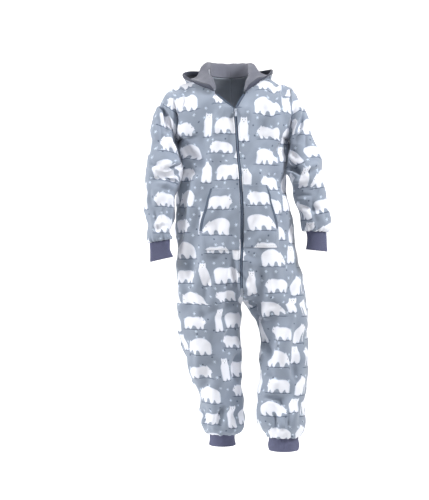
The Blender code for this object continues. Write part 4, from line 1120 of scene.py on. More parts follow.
class Graph:
    """A material whose nodes are written by short calls."""

    def __init__(self, name, rough=0.9, **values):
        self.material = bpy.data.materials.new(name)
        self.material.use_nodes = True
        self.tree = self.material.node_tree
        self.shader = self.tree.nodes["Principled BSDF"]
        for socket, value in {"Roughness": rough, **values}.items():
            self.shader.inputs[socket.replace("_", " ")].default_value = value

    def feed(self, socket, value):
        if isinstance(value, bpy.types.NodeSocket):
            self.tree.links.new(value, socket)
        else:
            socket.default_value = value

    def node(self, kind, values=()):
        node = self.tree.nodes.new("ShaderNode" + kind)
        for socket, value in zip(node.inputs, values):
            self.feed(socket, value)
        return node

    def math(self, operation, *values):
        node = self.node("Math", values)
        node.operation = operation
        return node.outputs[0]

    def each(self, operation, values):
        """One operation over all of the values in turn."""
        total, *others = values
        for value in others:
            total = self.math(operation, total, value)
        return total

    def vector(self, operation, *values):
        node = self.node("VectorMath", values)
        node.operation = operation
        return node.outputs[1 if operation == "DISTANCE" else 0]

    def scaled(self, vector, scale):
        node = self.node("VectorMath", (vector,))
        node.operation = "SCALE"
        self.feed(node.inputs["Scale"], scale)
        return node.outputs[0]

    def parts(self, vector):
        return self.node("SeparateXYZ", (vector,)).outputs

    def cloth(self):
        """The metres along the cloth at each spot."""
        node = self.node("UVMap")
        node.uv_map = "cloth"
        return node.outputs[0]

    def body(self):
        return self.node("TexCoord").outputs["Object"]

    def step(self, value, low, high):
        """0 at low and 1 at high, softly."""
        node = self.node("MapRange", (value, low, high, 0.0, 1.0))
        node.interpolation_type = "SMOOTHSTEP"
        return node.outputs[0]

    def mix(self, share, a, b):
        node = self.node("Mix")
        node.data_type = "RGBA"
        for index, value in ((0, share), (6, a), (7, b)):
            self.feed(node.inputs[index], value)
        return node.outputs[2]

    def texture(self, kind, place, **values):
        node = self.node("Tex" + kind)
        for socket, value in {"Vector": place, **values}.items():
            self.feed(node.inputs[socket], value)
        return node

    def noise(self, place, scale, detail=2.0, out=0):
        """Noise of so many waves a metre: a value, or a colour for out=1."""
        return self.texture("Noise", place, Scale=scale, Detail=detail).outputs[out]

    def spots(self, place, spacing, random):
        """The node that finds the nearest of many scattered spots."""
        node = self.texture("Voronoi", place, Scale=1 / spacing, Randomness=random)
        node.voronoi_dimensions = "2D"
        return node

    def profile(self, share, points):
        """A smooth outline through points, both ways from 0 to 1."""
        node = self.node("FloatCurve", (1.0, share))
        line = node.mapping.curves[0]
        node.mapping.extend = "HORIZONTAL"
        line.points[0].location = points[0]
        line.points[1].location = points[-1]
        for x, y in points[1:-1]:
            line.points.new(x, y)
        node.mapping.update()
        return node.outputs[0]

    def tone(self, value, spread):
        """About 1, lighter and darker by half of the spread."""
        return self.math("MULTIPLY_ADD", value, spread, 1 - spread / 2)

    def colour(self, colour, tone):
        """The colour of the material, a plain one or a socket's, times a tone."""
        plain = not isinstance(colour, bpy.types.NodeSocket)
        tinted = self.scaled(colour[:3] if plain else colour, tone)
        self.feed(self.shader.inputs["Base Color"], tinted)

    def bump(self, height, strength, distance):
        node = self.node("Bump")
        for socket, value in (("Strength", strength), ("Distance", distance), ("Height", height)):
            self.feed(node.inputs[socket], value)
        self.feed(self.shader.inputs["Normal"], node.outputs[0])


def rgb(red, green, blue):
    """A screen colour, 0 to 255, as the shader takes it."""
    return tuple(((v / 255 + 0.055) / 1.055) ** 2.4 for v in (red, green, blue)) + (1.0,)


def outline(text):
    """Points from text, each as its X and Y with a comma between them."""
    return [tuple(float(value) for value in spot.split(",")) for spot in text.split()]


# The print: bears and snowflakes. Each bear faces right, in millimetres from the middle of
# its feet: its upper outline, its lower one, and where its eyes and nose are.
BEARS = {
    "walking": (
        "-51,24 -50,36 -45,47 -36,54 -22,57 -8,55 4,55 15,58 24,56 31,51 34,50 36,54 39,50 43,44 "
        "47,37 52,32 54,27",
        "-51,26 -50,8 -47,0.5 -35,0 -32,4 -28,12 -24,6 -21,0 -11,0 -8,5 -5,13 2,15 8,11 10,2 "
        "13,0 22,0 25,4 27,9 30,2 33,0 40,1 42,12 43,19 49,22 54,26",
        "43,38 52,28"),
    "grazing": (
        "-46,18 -46,32 -41,44 -32,52 -19,57 -4,58 9,55 20,50 27,46 30,49 33,44 38,37 43,28 48,19 "
        "51,12",
        "-46,20 -45,5 -42,0.5 -30,0 -27,5 -23,11 -19,3 -16,0 -7,0 -5,6 -1,14 6,15 10,10 12,1 "
        "15,0 25,0 28,6 31,13 36,12 41,8 46,5 51,10",
        "38,27 49,12"),
    "sitting": (
        "-30,10 -31,20 -29,33 -23,44 -14,53 -5,60 1,66 4,71 7,68 13,67 18,62 24,58 30,54",
        "-30,12 -29,3 -25,0 -9,0 -6,3 -4,6 -1,2 3,0 19,0 22,3 20,9 18,24 17,36 19,46 24,49 30,52",
        "15,60 28,54"),
    "cub": (
        "-18,12 -19,26 -17,38 -15,47 -15,54 -12,59 -8,57 0,58 8,57 12,59 15,54 15,47 17,38 19,26 "
        "18,12",
        "-18,14 -17,3 -14,0 -5,0 -2.5,3 0,6 2.5,3 5,0 14,0 17,3 18,14",
        "-4.5,49 4.5,49 0,43"),
    "standing": (
        "-20,20 -21,40 -19,56 -15,67 -12,76 -12,85 -10,91 -6,88 1,89 7,88 10,91 13,85 13,76 "
        "17,66 20,54 22,38 21,20",
        "-20,22 -19,4 -16,0.5 -5,0 -2,5 0,10 2,5 5,0.5 16,0 19,4 21,22",
        "-5,80 5,80 0,73"),
    "ambling": (
        "-42,18 -41,27 -36,35 -27,41 -14,43 0,42 12,44 21,44 27,41 30,44 33,40 38,34 43,28 46,23",
        "-42,20 -42,6 -41,0.5 -32,0 -29,3 -26,9 -21,5 -18,0 -10,0 -7,4 -3,10 4,11 9,7 12,0 19,0 "
        "22,4 25,8 28,1 30,0 35,1 37,12 41,17 46,21",
        "36,31 44.5,24")}
BEAR_HIGH = 100.0       # the height of a profile
BEAR_FOOT = 0.02        # how far up in a profile the feet are
SHADOW = (0.0016, 0.0017, 0.53)     # the line under it: how low, half how high, half how wide
TILE = (0.400, 0.196)
FLAKE_SPACING = 0.047
FLAKE_ARMS = 6
FLAKE_REACH = (0.0022, 0.0048)      # of its middle, and of its arms beyond that
DOT_SPACING = 0.060
DOT_SHIFT = (0.021, 0.017, 0.0)
FUZZ = 0.0022           # how far the nap shifts the print's edges
HERD = (
    # bear, where its feet are in the tile, its size, and which way it faces
    ("grazing", 0.058, 0.010, 1.12, 1),
    ("cub", 0.143, 0.022, 1.12, 1),
    ("sitting", 0.214, 0.006, 1.08, -1),
    ("ambling", 0.302, 0.032, 1.06, 1),
    ("standing", 0.364, 0.100, 0.99, -1),
    ("ambling", 0.070, 0.110, 1.14, -1),
    ("sitting", 0.168, 0.098, 1.04, 1),
    ("walking", 0.272, 0.110, 1.08, -1))
GROUND = rgb(145, 155, 171)
BEAR_WHITE = rgb(240, 242, 250)
BEAR_SHADE = rgb(214, 221, 236)
FLAKE = rgb(208, 220, 236)
SPECK = rgb(92, 103, 122)


def one_bear(graph, place, kind, x, y, size, facing):
    """How far inside a bear each spot is, how near a mark of its face, and its shadow line."""
    top, bottom, marks = (outline(text) for text in BEARS[kind])
    scale = size / 1000
    low, high = top[0][0], top[-1][0]
    wide, middle = (high - low) * scale, (high + low) / 2 * scale * facing
    half = (TILE[0] / 2, TILE[1] / 2, 1.0)
    spot = graph.vector("SUBTRACT", place, (x, y, 0.0))
    spot = graph.vector("WRAP", spot, half, tuple(-v for v in half))
    across, up, _ = graph.parts(spot)
    share = graph.math("MULTIPLY_ADD", across, facing / wide, 0.5 - facing * middle / wide)
    tall = BEAR_HIGH * scale
    from_middle = graph.math("ABSOLUTE", graph.math("SUBTRACT", share, 0.5))
    inside = graph.math("MULTIPLY", graph.math("SUBTRACT", 0.5, from_middle), wide)
    for points, sign in ((top, 1), (bottom, -1)):
        profile = graph.profile(share, [((px - low) / (high - low), py / BEAR_HIGH + BEAR_FOOT)
                                        for px, py in points])
        edge = graph.math("MULTIPLY_ADD", profile, tall, -BEAR_FOOT * tall)
        gap = graph.math("SUBTRACT", edge, up) if sign > 0 else graph.math("SUBTRACT", up, edge)
        inside = graph.math("MINIMUM", inside, gap)
    near = graph.each("MINIMUM", [graph.vector("DISTANCE", spot, (
        mx * scale * facing, my * scale, 0.0)) for mx, my in marks])
    below, half_high, half_wide = SHADOW
    line = [graph.math("DIVIDE", graph.math("ABSOLUTE", value), reach) for value, reach in (
        (graph.math("ADD", up, below), half_high), (across, half_wide * wide))]
    return inside, near, graph.math("MAXIMUM", *line)


def snow(graph, place):
    """The ground with its snowflakes and specks."""
    cells = graph.spots(place, FLAKE_SPACING, random=0.7)
    spot = graph.vector("SUBTRACT", place, cells.outputs["Position"])
    across, up, _ = graph.parts(spot)
    squares = [graph.math("POWER", value, 2.0) for value in (across, up)]
    away = graph.math("SQRT", graph.math("ADD", *squares))
    turn = graph.math("MULTIPLY", graph.math("ARCTAN2", up, across), FLAKE_ARMS / 2)
    arm = graph.math("POWER", graph.math("ABSOLUTE", graph.math("COSINE", turn)), 5.0)
    reach = graph.math("MULTIPLY_ADD", arm, FLAKE_REACH[1], FLAKE_REACH[0])
    flake = graph.step(graph.math("SUBTRACT", reach, away), -0.0006, 0.0006)
    dots = graph.spots(graph.vector("ADD", place, DOT_SHIFT), DOT_SPACING, random=0.8)
    speck = graph.step(dots.outputs["Distance"], 0.070, 0.045)
    return graph.mix(speck, graph.mix(flake, GROUND, FLAKE), SPECK)


def print_colour(graph, uv, start):
    """The bears with their shadow lines on the snow, from another start on each piece."""
    fuzz = graph.vector("SUBTRACT", graph.noise(uv, 260.0, detail=1.0, out=1), (0.5, 0.5, 0.5))
    place = graph.vector("ADD", uv, graph.scaled(fuzz, FUZZ))
    place = graph.vector("ADD", place, (start, start * 0.37, 0.0))
    found = zip(*(one_bear(graph, place, *bear) for bear in HERD))
    inside, near, line = (graph.each(operation, values) for operation, values in zip(
        ("MAXIMUM", "MINIMUM", "MINIMUM"), found))
    ground = graph.mix(graph.step(line, 1.15, 0.85), snow(graph, place), SPECK)
    fur = graph.mix(graph.step(inside, 0.0, 0.006), BEAR_SHADE, BEAR_WHITE)
    face = graph.mix(graph.step(near, 0.0020, 0.0011), fur, SPECK)
    return graph.mix(graph.step(inside, -0.0005, 0.0006), ground, face)


def fleece(name, colour=None, start=0.0):
    """Brushed fleece: a soft nap with a sheen, printed where it has no colour of its own."""
    graph = Graph(name, Sheen_Weight=0.30, Sheen_Roughness=0.55, Specular_IOR_Level=0.15)
    uv = graph.cloth()
    nap = graph.noise(uv, 420.0)
    tone = graph.math("MULTIPLY", graph.tone(graph.noise(uv, 18.0, detail=3.0), 0.16),
                      graph.tone(nap, 0.18))
    graph.colour(colour or print_colour(graph, uv, start), tone)
    rough = graph.math("MULTIPLY_ADD", graph.noise(uv, 900.0, detail=1.0), 0.6, nap)
    graph.bump(rough, strength=0.45, distance=0.0011)
    return graph.material


def knit(name, colour, scale=1.0):
    """Rib knit: rows of small stitches across the ribs that are in the form itself."""
    graph = Graph(name, 0.85, Sheen_Weight=0.25, Specular_IOR_Level=0.2)
    uv = graph.cloth()
    rows = graph.texture("Wave", uv, Scale=110.0 * scale, Distortion=1.5)
    rows.bands_direction = "Y"
    graph.colour(colour, graph.tone(graph.noise(uv, 300.0), 0.30))
    graph.bump(rows.outputs[0], strength=0.35, distance=0.0006)
    return graph.material


def plain(name, colour, rough, metallic=0.0, grain=0.0):
    """Thread, plastic or metal with a fine grain."""
    graph = Graph(name, rough, Metallic=metallic)
    place = graph.body()
    graph.colour(colour, graph.tone(graph.noise(place, 900.0), grain))
    if metallic:
        graph.bump(graph.noise(place, 1500.0), strength=0.06, distance=0.0002)
    return graph.material


# ---- The garment

def shaped_grids():
    """Every large piece of the body as a grid, folded and creased, with shared normals."""
    panels = {}
    for side in (-1, 1):
        word = side_name(side)
        for face, part in ((-1, "front_"), (1, "back_")):
            panels[part + word] = (body_panel(side, face), False, side * face)
        tube = sleeve_tube(side, panels["front_" + word][0], panels["back_" + word][0])
        panels["sleeve_" + word] = (tube, True, side)
    for shape in (with_folds, with_creases):
        normals = shared_normals(panels)
        for name, (grid, closed, flip) in panels.items():
            side = -1 if name.endswith("left") else 1
            panels[name] = (shape(grid, normals[name], closed, side), closed, flip)
        for word in ("left", "right"):
            loop = armhole_loop(panels["front_" + word][0], panels["back_" + word][0])
            panels["sleeve_" + word][0][0] = loop
    return panels, shared_normals(panels)


def with_folds(grid, normals, arm, side):
    """A sleeve or a panel with its large folds, and a panel made fuller at its side."""
    if arm:
        return folded(grid, normals, SLEEVE_FOLDS)
    grid = folded(grid, normals, BODY_FOLDS)
    share = np.clip((SHARES - 0.55) / 0.45, 0, 1) ** 1.5
    extra = curve(SIDE_EASE, "z", side_name(side), grid[:, :, 2].ravel())
    grid[:, :, 0] += side * extra.reshape(grid.shape[:2]) * share[None, :]
    return grid


def with_creases(grid, normals, arm, side):
    """A sleeve or a panel with its creases, waves, fuller places and gathers."""
    grid = creased(grid, normals, SLEEVE_CREASES if arm else BODY_CREASES)
    height = rippled(grid, WAVES, WAVE_HIGH) + rippled(grid, RIPPLES, RIPPLE_HIGH)
    share = ARM_HANG if arm else np.interp(SHARES, *PANEL_HANG)[None, :]
    height = height + rippled(grid, HANGS, HANG_HIGH) * share
    across, up = grid[:, :, 0], grid[:, :, 2]
    for x, z, reach, high in zip(*PUFFS.values()):
        height = height + high * np.exp(-((across - x) ** 2 + (up - z) ** 2) / reach ** 2)
    free = np.maximum(HOOD_FREE["below"] - up, np.abs(across) - HOOD_FREE["beside"])
    free = np.clip(free / HOOD_FREE["fade"], 0, 1)
    free = free * np.clip((off_end(grid) - CUFF_CALM) / CUFF_FADE, 0, 1)[:, None]
    grid = grid + (free * height)[:, :, None] * normals
    return gathered(grid, normals, arm, side, **(ARM_GATHERS if arm else LEG_GATHERS))


def make_body(panels, normals, look, inside):
    """Fronts, backs and sleeves, with the seams' edges rolled under."""
    half = SEAM / 2
    for name, (grid, closed, flip) in panels.items():
        out = normals[name]
        front = name.startswith("front")
        if front:
            grid, out = resampled(grid, out, shown_tape(grid))
        pulls = (half, half, 0.0 if front else half, half)
        near, far = draw_back(grid, grid - out * WALL, pulls, closed)
        near, far = rolled(near, far, out, ENDS if closed else ALL_EDGES)
        piece = wall("cloth_" + name, near, far, closed, flip, cloth_uv(grid, closed),
                     (look[name], inside))
        finish_sheet(piece, name, grid, closed)


RIB_HIGH = 0.0013           # a cuff's ribs outside
RIB_INSIDE = 0.0004         # and inside
CUFF_WAVES = (0.0010, 0.0004)


def make_cuffs(look, inside):
    """Ribbed cuffs: the ribs are in the form, and the ends roll round.

    Their inner side takes a darker copy of the knit: painted shade.
    """
    even = np.linspace(0, 2 * math.pi, CUFF_RIBS * RIB_COLUMNS, endpoint=False)
    rib = (0.5 + 0.5 * np.cos(even * CUFF_RIBS))[None, :, None]
    raised = RIB_HIGH * (rib ** 0.7 - 0.6)
    for word, tables in (("wrist", WRISTS), ("ankle", ANKLES)):
        for side, table in tables.items():
            name = f"{word}_cuff_{side_name(side)}"
            table = dict(table, row=np.arange(len(table["x"])))
            rows = []
            for at in CUFF_ROWS:
                x, y, z, wide, deep, tilt = (float(curve(table, "row", key, at))
                                             for key in "x y z wide deep tilt".split())
                across = wide * np.cos(even)
                rows.append(np.stack([x + across, y - deep * np.sin(even), z + tilt * across],
                                     axis=1))
            grid = np.array(rows)
            out = own_normals(grid, True)
            wave = rippled(grid, WAVES, CUFF_WAVES[0]) + rippled(grid, RIPPLES, CUFF_WAVES[1])
            near = grid + out * (wave[:, :, None] + raised)
            far = grid - out * (RIB - wave[:, :, None] - RIB_INSIDE * rib)
            near, far = rolled(near, far, out, ENDS)
            # the inner side takes the darker copy of the knit, painted shade
            piece = wall("cloth_" + name, near, far, True, 1, cloth_uv(grid, True), (look, inside))
            finish_sheet(piece, name, near, True)


POCKET_ROWS = 64
POCKET_COLUMNS = 40
POCKET_GAP = 0.0012         # from a front to its pocket's back
POCKET_FULL = 0.0030        # how much further off its middle is
POCKET_OPEN = 0.0052        # and the edge of its opening
POCKET_SLACK = 0.0006
POCKET_INSET = 0.0065       # from the front's edge to the pocket's
MOUTH_SHADE_COLUMNS = 3           # the opening's edge, in a darker fleece: painted shade for the gap under it
# and the share of the pocket's rows, from its top, that take that painted shade
MOUTH_SHADE_SHARE = 0.70


def make_pockets(panels, look, inside, painted_shade_look, thread):
    """Patches on the fronts: sewn down but for the slanted opening, which stands a little open.

    The opening's edge takes a darker fleece, painted shade for the gap beneath it.
    """
    for side in (-1, 1):
        word = side_name(side)
        table = POCKETS[side]
        grid = panels["front_" + word][0][YOKE_ROWS:YOKE_ROWS + TRUNK_ROWS]
        rows_z = grid[:, :, 2].mean(axis=1)
        base = []
        for z in np.linspace(table["z"][0], table["z"][-1], POCKET_ROWS):
            outer = float(curve(table, "z", "outer", z))
            k = int(np.clip(np.searchsorted(-rows_z, -z), 1, len(rows_z) - 1))
            blend = (rows_z[k - 1] - z) / (rows_z[k - 1] - rows_z[k])
            row = grid[k - 1] * (1 - blend) + grid[k] * blend
            inner = row[0, 0] + side * POCKET_INSET
            across = inner + (outer - inner) * np.linspace(0, 1, POCKET_COLUMNS)
            order = np.argsort(row[:, 0])
            deep = np.interp(across, row[order, 0], row[order, 1])
            base.append(np.stack([across, deep, np.full(POCKET_COLUMNS, z)], axis=1))
        base = np.array(base)
        out = own_normals(base, False, -side)
        share = np.linspace(0, 1, POCKET_ROWS)[:, None]
        across = np.linspace(0, 1, POCKET_COLUMNS)[None, :]
        mouth = np.clip((share - 0.04) / 0.12, 0, 1) * np.clip((0.66 - share) / 0.14, 0, 1)
        lift = POCKET_GAP + POCKET_FULL * np.sin(math.pi * share) * np.sin(math.pi * across)
        lift = lift + POCKET_OPEN * mouth * np.clip((across - 0.55) / 0.45, 0, 1) ** 1.6
        slack = rippled(base, RIPPLES, POCKET_SLACK) * np.sin(math.pi * across)
        far = base + out * (lift + slack)[:, :, None]
        near, far = rolled(far + out * LAYER, far, out, ALL_EDGES)
        node = "pocket_" + word
        piece = wall("cloth_" + node, near, far, False, -side, cloth_uv(near, False),
                     (look, inside, painted_shade_look))
        # the opening's last columns take the third look: a darker fleece that is painted shade for
        # the gap
        cells = POCKET_COLUMNS - 1
        for i in range(int(POCKET_ROWS * MOUTH_SHADE_SHARE)):
            for j in range(cells - MOUTH_SHADE_COLUMNS, cells):
                piece.data.polygons[i * cells + j].material_index = 2
        finish_sheet(piece, node, near)
        seams = [near[2, 2:-2], near[-3, 2:-2], near[2:-2, -5]]
        stitches("stitching_" + node, seams, thread)


def frames_along(line, outward):
    """Along a line: its points' way on, and the way across and the way out, for a guess at it."""
    ahead = unit(np.gradient(line, axis=0))
    side = unit(np.cross(ahead, outward))
    return ahead, side, np.cross(side, ahead)


CUBE = np.array([[x, y, z] for x in (-1, 1) for y in (-1, 1) for z in (-1, 1)], dtype=float)
CUBE_FACES = np.array([[0, 1, 3, 2], [4, 6, 7, 5], [0, 4, 5, 1], [2, 3, 7, 6], [0, 2, 6, 4],
                       [1, 5, 7, 3]])
BLOCK_TOP = 0.72            # a block's top, as a share of its foot
BLOCK_SHARP = 30            # the edges that stay sharp, in degrees


def blocks(name, centres, ahead, side, out, half, look):
    """Many small blocks as one mesh, each turned to its own frame and narrower on top."""
    points = []
    for x, y, z in CUBE:
        narrow = BLOCK_TOP if z > 0 else 1.0
        points.append(centres + ahead * x * half[0] * narrow + side * y * half[1] * narrow
                      + out * z * half[2])
    points = np.stack(points, axis=1).reshape(-1, 3)
    faces = (CUBE_FACES[None] + 8 * np.arange(len(centres))[:, None, None]).reshape(-1, 4)
    return placed(name, points, faces, look, BLOCK_SHARP)


def spaced(line, step, shift=0.0):
    """Points every step along a line."""
    return resample(line, np.arange(step / 2 + shift, travelled(line)[-1], step))


STITCH_STEP = 0.0042
STITCH = (0.0015, 0.00042, 0.00035)     # half its length, width and height
STITCH_LIFT = 0.0001


def stitches(name, lines, look):
    """Rows of stitches: short raised dashes along lines on the cloth."""
    parts = []
    for line in lines:
        points = spaced(line, STITCH_STEP)
        parts.append((points, *frames_along(points, FRONT)))
    centres, *ways = (np.concatenate(values) for values in zip(*parts))
    piece = blocks(name, centres + ways[2] * STITCH_LIFT, *ways, STITCH, look)
    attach(piece, "garment")


HOOD_WAVES = (0.0017, 0.0007)
# The hood's band: its half thickness at shares of its width
BAND_ACROSS = [0, 0.12, 0.5, 0.8, 0.93, 0.98, 1]
BAND_SWELL = [0.80, 1.10, 1.15, 0.95, 0.66, 0.42, 0.12]
BAND_HALF = (LAYER + SEAM) * 1.25
# How much of the room in a fold of the hood its outer cloth may take, near side and far side
ROOM_NEAR = 0.05
ROOM_FAR = 0.22


def make_hood(panels, look, lining, band_look, inside):
    """The hood's outer halves, its lining, and the band round its opening."""
    halves = [hood_grid(side, panels["front_" + side_name(side)][0],
                        panels["back_" + side_name(side)][0]) for side in (-1, 1)]
    cloth, band = (np.concatenate([left, right[-2::-1]]) for left, right in zip(*halves))
    seam = HOOD_STATIONS - 1
    steps = cloth.shape[1]
    whole = np.concatenate([cloth, band], axis=1)
    depth = np.clip((np.arange(whole.shape[1]) - 1) / HOOD_PARTS[0], 0, 1)
    height = rippled(whole, WAVES, HOOD_WAVES[0]) + rippled(whole, RIPPLES, HOOD_WAVES[1])
    whole = whole + (height * depth[None, :])[:, :, None] * own_normals(whole, False, -1)
    out = own_normals(whole, False, -1)
    cloth, band = whole[:, :steps], whole[:, steps:]
    rise, lift = out[:, :steps], out[:, steps:]
    near, far = rolled(cloth + rise * (LAYER + SEAM / 2), cloth + rise * SEAM / 2, rise, ENDS)
    piece = wall("cloth_hood_lining", near, far, False, -1, hood_uv(cloth), (lining, lining))
    finish_sheet(piece, "hood_lining", cloth)
    for word, rows, end in (("left", slice(0, seam + 1), 1), ("right", slice(seam, None), 0)):
        part, up = cloth[rows], rise[rows]
        room = room_behind(part, up)[:, :, None]
        near = part - up * np.minimum(SEAM / 2, ROOM_NEAR * room)
        far = part - up * np.minimum(LAYER + SEAM / 2, ROOM_FAR * room)
        pulls = [0.0, 0.0, 0.0, 0.0]
        pulls[end] = SEAM / 2
        near, far = draw_back(near, far, pulls, False)
        far, near = rolled(far, near, -up, [(0, end == 0)])
        piece = wall("cloth_hood_" + word, near, far, False, -1, hood_uv(part), (inside, look))
        finish_sheet(piece, "hood_" + word, part)
    swell = BAND_HALF * np.interp(np.linspace(0, 1, BAND_COLUMNS), BAND_ACROSS, BAND_SWELL)
    swell = swell[None, :, None]
    piece = wall("cloth_hood_hem", band + lift * swell, band - lift * swell, False, -1,
                 hood_uv(band), (band_look, band_look))
    finish_sheet(piece, "hood_hem", band)


def room_behind(grid, out):
    """How far each point of the hood is, on its outer side, from the hood's next fold."""
    room = np.full(grid.shape[:2], 1.0)
    for i, (line, normal) in enumerate(zip(grid, out)):
        way = line[None] - line[:, None]
        far = np.linalg.norm(way, axis=2)
        behind = -(way * normal[:, None]).sum(axis=2)
        met = (normal @ normal.T < -0.1) & (behind > 0.3 * far) & (far > 0)
        room[i] = np.where(met, far, 1.0).min(axis=1)
    for _ in range(2):
        room[1:-1] = np.minimum(room[1:-1], np.minimum(room[:-2], room[2:]))
        room[:, 1:-1] = np.minimum(room[:, 1:-1], np.minimum(room[:, :-2], room[:, 2:]))
    return room


TAPE_WIDE = 0.016           # from the zip's middle
TAPE_THICK = 0.0008
TAPE_SHOWN = 0.0045         # how much further back the cloth lies beside the open zip
TOOTH_STEP = 0.0020
TOOTH_HIGH = 0.0009         # half of it
OPEN_TOOTH = (0.00062, 0.0014, TOOTH_HIGH)
OPEN_ASIDE = 0.0016         # from the tape's edge to the open teeth's middle
CLOSED_TOOTH = (0.00064, 0.0017, TOOTH_HIGH)
CLOSED_ASIDE = 0.00115      # from the closed zip's middle to a row's
CLOSED_LIFT = 0.0026        # over the tapes
SLIDER_LOW = 0.008          # the closed teeth end so far below the foot of the open V
SLIDER_HIGH = 0.004         # and the open ones start so far above it
SEAM_STITCH = 0.0062        # from a front's edge to its topstitching


def shown_tape(panel):
    """How far a front's cloth stays off its edge: further beside the open zip's tape."""
    z = panel[:, 0, 2]
    below = np.clip((HOOD_CORNER_Z + 0.5 * FADE - z) / FADE, 0, 1)
    return zip_pull(panel) + TAPE_SHOWN * np.clip((z - ZIP_TOP_Z) / FADE, 0, 1) * below


def make_zip(panels, normals, tape_look, teeth_look, thread):
    """Woven tapes under the fronts' edges, moulded teeth closed and open, and topstitching."""
    under = WALL + TAPE_GAP
    top = HOOD_CORNER_Z - 0.004
    for word in ("left", "right"):
        grid, _, flip = panels["front_" + word]
        out_all = normals["front_" + word]
        spots = np.linspace(SEAM / 2, TAPE_WIDE, 8)
        points, outs = along_zip(grid, out_all, spots, ZIP_END_Z, top)
        near = points - outs * under
        far = points - outs * (under + TAPE_THICK)
        piece = wall("cloth_zip_tape_" + word, near, far, False, flip, cloth_uv(near, False),
                     (tape_look, tape_look))
        finish_sheet(piece, "zip_tape_" + word, near)
        edge, way, out = zip_edge(grid, out_all, ZIP_TOP_Z + SLIDER_HIGH, top)
        line = edge + way * (OPEN_ASIDE + SEAM / 2) - out * (under - SEAM - TOOTH_HIGH)
        points = spaced(line, TOOTH_STEP)
        piece = blocks("zip_teeth_" + word, points, *frames_along(points, out.mean(axis=0)),
                       OPEN_TOOTH, teeth_look)
        finish_solid(piece, "zip_open_" + word)
        pulled, _ = resampled(grid, out_all, shown_tape(grid))
        last = int(np.argmax(pulled[:, 0, 2] < ZIP_END_Z - 0.01))
        line = [resample(row, np.array([SEAM_STITCH]))[0] for row in pulled[2:last]]
        stitches("stitching_zip_" + word, [np.array(line)], thread)
    edge, _, _ = zip_edge(panels["front_right"][0], normals["front_right"], ZIP_END_Z,
                          ZIP_TOP_Z - SLIDER_LOW)
    _, _, out = frames_along(edge, FRONT)
    line = edge - out * (under - CLOSED_LIFT)
    parts = []
    for sign, shift in ((-1, 0.0), (1, TOOTH_STEP / 2)):
        points = spaced(line, TOOTH_STEP, shift)
        ahead, side, up = frames_along(points, FRONT)
        right = np.where(side[:, :1] > 0, side, -side)
        parts.append((points + right * sign * CLOSED_ASIDE, ahead, side, up))
    joined = [np.concatenate(values) for values in zip(*parts)]
    finish_solid(blocks("zip_teeth", *joined, CLOSED_TOOTH, teeth_look), "zip_coil")


# ---- The light, the floor and the camera

FLOOR_Z = -1.545
FLOOR_HALF = 7.0
FLOOR_BEND = (6.5, 1.5)     # where the floor starts to turn up, and how roundly
FLOOR_TOP = 3.4
WHITE = (1.0, 1.0, 1.0, 1.0)
LAMPS = (
    # name, place, aim, width and height, power
    ("side_left", (-3.1, -0.9, 0.5), (0.0, 0.0, -0.45), (0.7, 1.8), 100.0),
    ("side_right", (2.3, -1.5, 1.35), (0.10, 0.0, 0.20), (0.7, 1.2), 98.0),
    ("front", (0.9, -3.4, 2.2), (0.0, 0.0, -0.30), (0.7, 0.7), 20.0),
    ("top", (0.0, -0.3, 2.2), (0.0, 0.0, -1.5), (1.6, 1.2), 16.0))


def area_light(name, place, aim, size, power):
    lamp = bpy.data.lights.new(name, "AREA")
    lamp.shape = "RECTANGLE"
    lamp.size, lamp.size_y = size
    lamp.energy = power
    light = bpy.data.objects.new(name, lamp)
    light.location = place
    light.rotation_euler = (Vector(aim) - Vector(place)).to_track_quat("-Z", "Y").to_euler()
    bpy.context.scene.collection.objects.link(light)


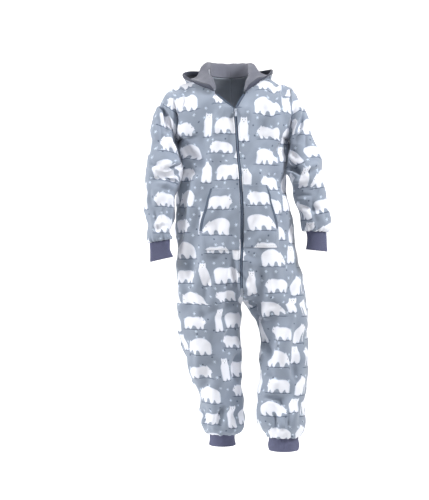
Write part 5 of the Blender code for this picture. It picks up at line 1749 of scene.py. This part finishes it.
def make_floor():
    """A pale floor that turns up far behind the garment. It glows, painted light that is far
    stronger behind the garment than in front, and its colour is paler there too.
    """
    start, bend = FLOOR_BEND
    turn = [(-FLOOR_HALF, FLOOR_Z)]
    for angle in np.linspace(0, math.pi / 2, 13):
        turn.append((start + bend * math.sin(angle), FLOOR_Z + bend * (1 - math.cos(angle))))
    turn.append((start + bend, FLOOR_TOP))
    points = np.array([[x, y, z] for y, z in turn for x in (-FLOOR_HALF, FLOOR_HALF)])
    k = 2 * np.arange(len(turn) - 1)
    graph = Graph("pale_floor", 0.9, Specular_IOR_Level=0.1, Emission_Color=WHITE)
    near = graph.step(graph.parts(graph.body())[1], -0.9, 0.5)
    # painted light: the floor's own glow, strong behind the garment and faint in front
    glow = graph.math("MULTIPLY_ADD", near, 0.70, 0.05)
    pale = graph.mix(near, (0.55, 0.55, 0.55, 1.0), (0.86, 0.86, 0.86, 1.0))
    graph.feed(graph.shader.inputs["Emission Strength"], glow)
    graph.feed(graph.shader.inputs["Base Color"], pale)
    faces = np.stack([k, k + 1, k + 3, k + 2], axis=1)
    placed("floor", points, faces, graph.material, 0)


def make_studio():
    """The floor, soft lamps, a grey world and the photograph's camera."""
    make_floor()
    for lamp in LAMPS:
        area_light(*lamp)
    scene = bpy.context.scene
    world = bpy.data.worlds.new("soft_white")
    world.use_nodes = True
    background = world.node_tree.nodes["Background"]
    background.inputs["Color"].default_value = WHITE
    background.inputs["Strength"].default_value = 0.22
    scene.world = world
    scene.view_settings.view_transform = "Standard"
    lens = bpy.data.cameras.new("camera")
    lens.lens = 94.7
    lens.sensor_width = 36.0
    lens.clip_end = 40.0
    camera = bpy.data.objects.new("camera", lens)
    camera.location = (-0.063, -5.0, -0.631)
    camera.rotation_euler = (math.radians(90), 0, 0)
    scene.collection.objects.link(camera)
    scene.camera = camera


def build():
    """The looks, every piece of cloth and zip, and the studio."""
    inside = fleece("fleece_inside", rgb(184, 192, 205))
    names = ("front_left", "front_right", "back_left", "back_right", "sleeve_left",
             "sleeve_right", "pockets", "hood")
    look = {name: fleece("print_" + name, start=0.083 * k + 0.011)
            for k, name in enumerate(names)}
    lining = fleece("lining", rgb(108, 110, 122))
    band = fleece("hood_band", rgb(58, 62, 78))
    # painted shade: a darker fleece on the pocket opening's edge, standing in for the gap's shadow
    painted_shade_look = fleece("pocket_mouth_painted_shade", rgb(84, 96, 114))
    ribs = knit("rib_knit", rgb(101, 104, 131))
    # the same knit made darker for the cuffs' inner side: painted shade
    ribs_inside_painted_shade = knit("rib_knit_inside_painted_shade", rgb(80, 82, 106))
    thread = plain("thread", rgb(120, 133, 152), 0.7, grain=0.2)
    tape = knit("woven_tape", rgb(88, 98, 118), 3.0)
    teeth = plain("zip_teeth", rgb(128, 144, 168), 0.35, grain=0.1)
    metal = plain("slider_metal", rgb(190, 198, 212), 0.38, 0.7, grain=0.06)
    panels, normals = shaped_grids()
    make_body(panels, normals, look, inside)
    make_cuffs(ribs, ribs_inside_painted_shade)
    make_pockets(panels, look["pockets"], inside, painted_shade_look, thread)
    make_hood(panels, look["hood"], lining, band, inside)
    make_zip(panels, normals, tape, teeth, thread)
    for name in ("slider_top", "slider_bottom", "pull_tab_top", "pull_tab_bottom"):
        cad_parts[name].data.materials[0] = metal
    make_studio()


build()
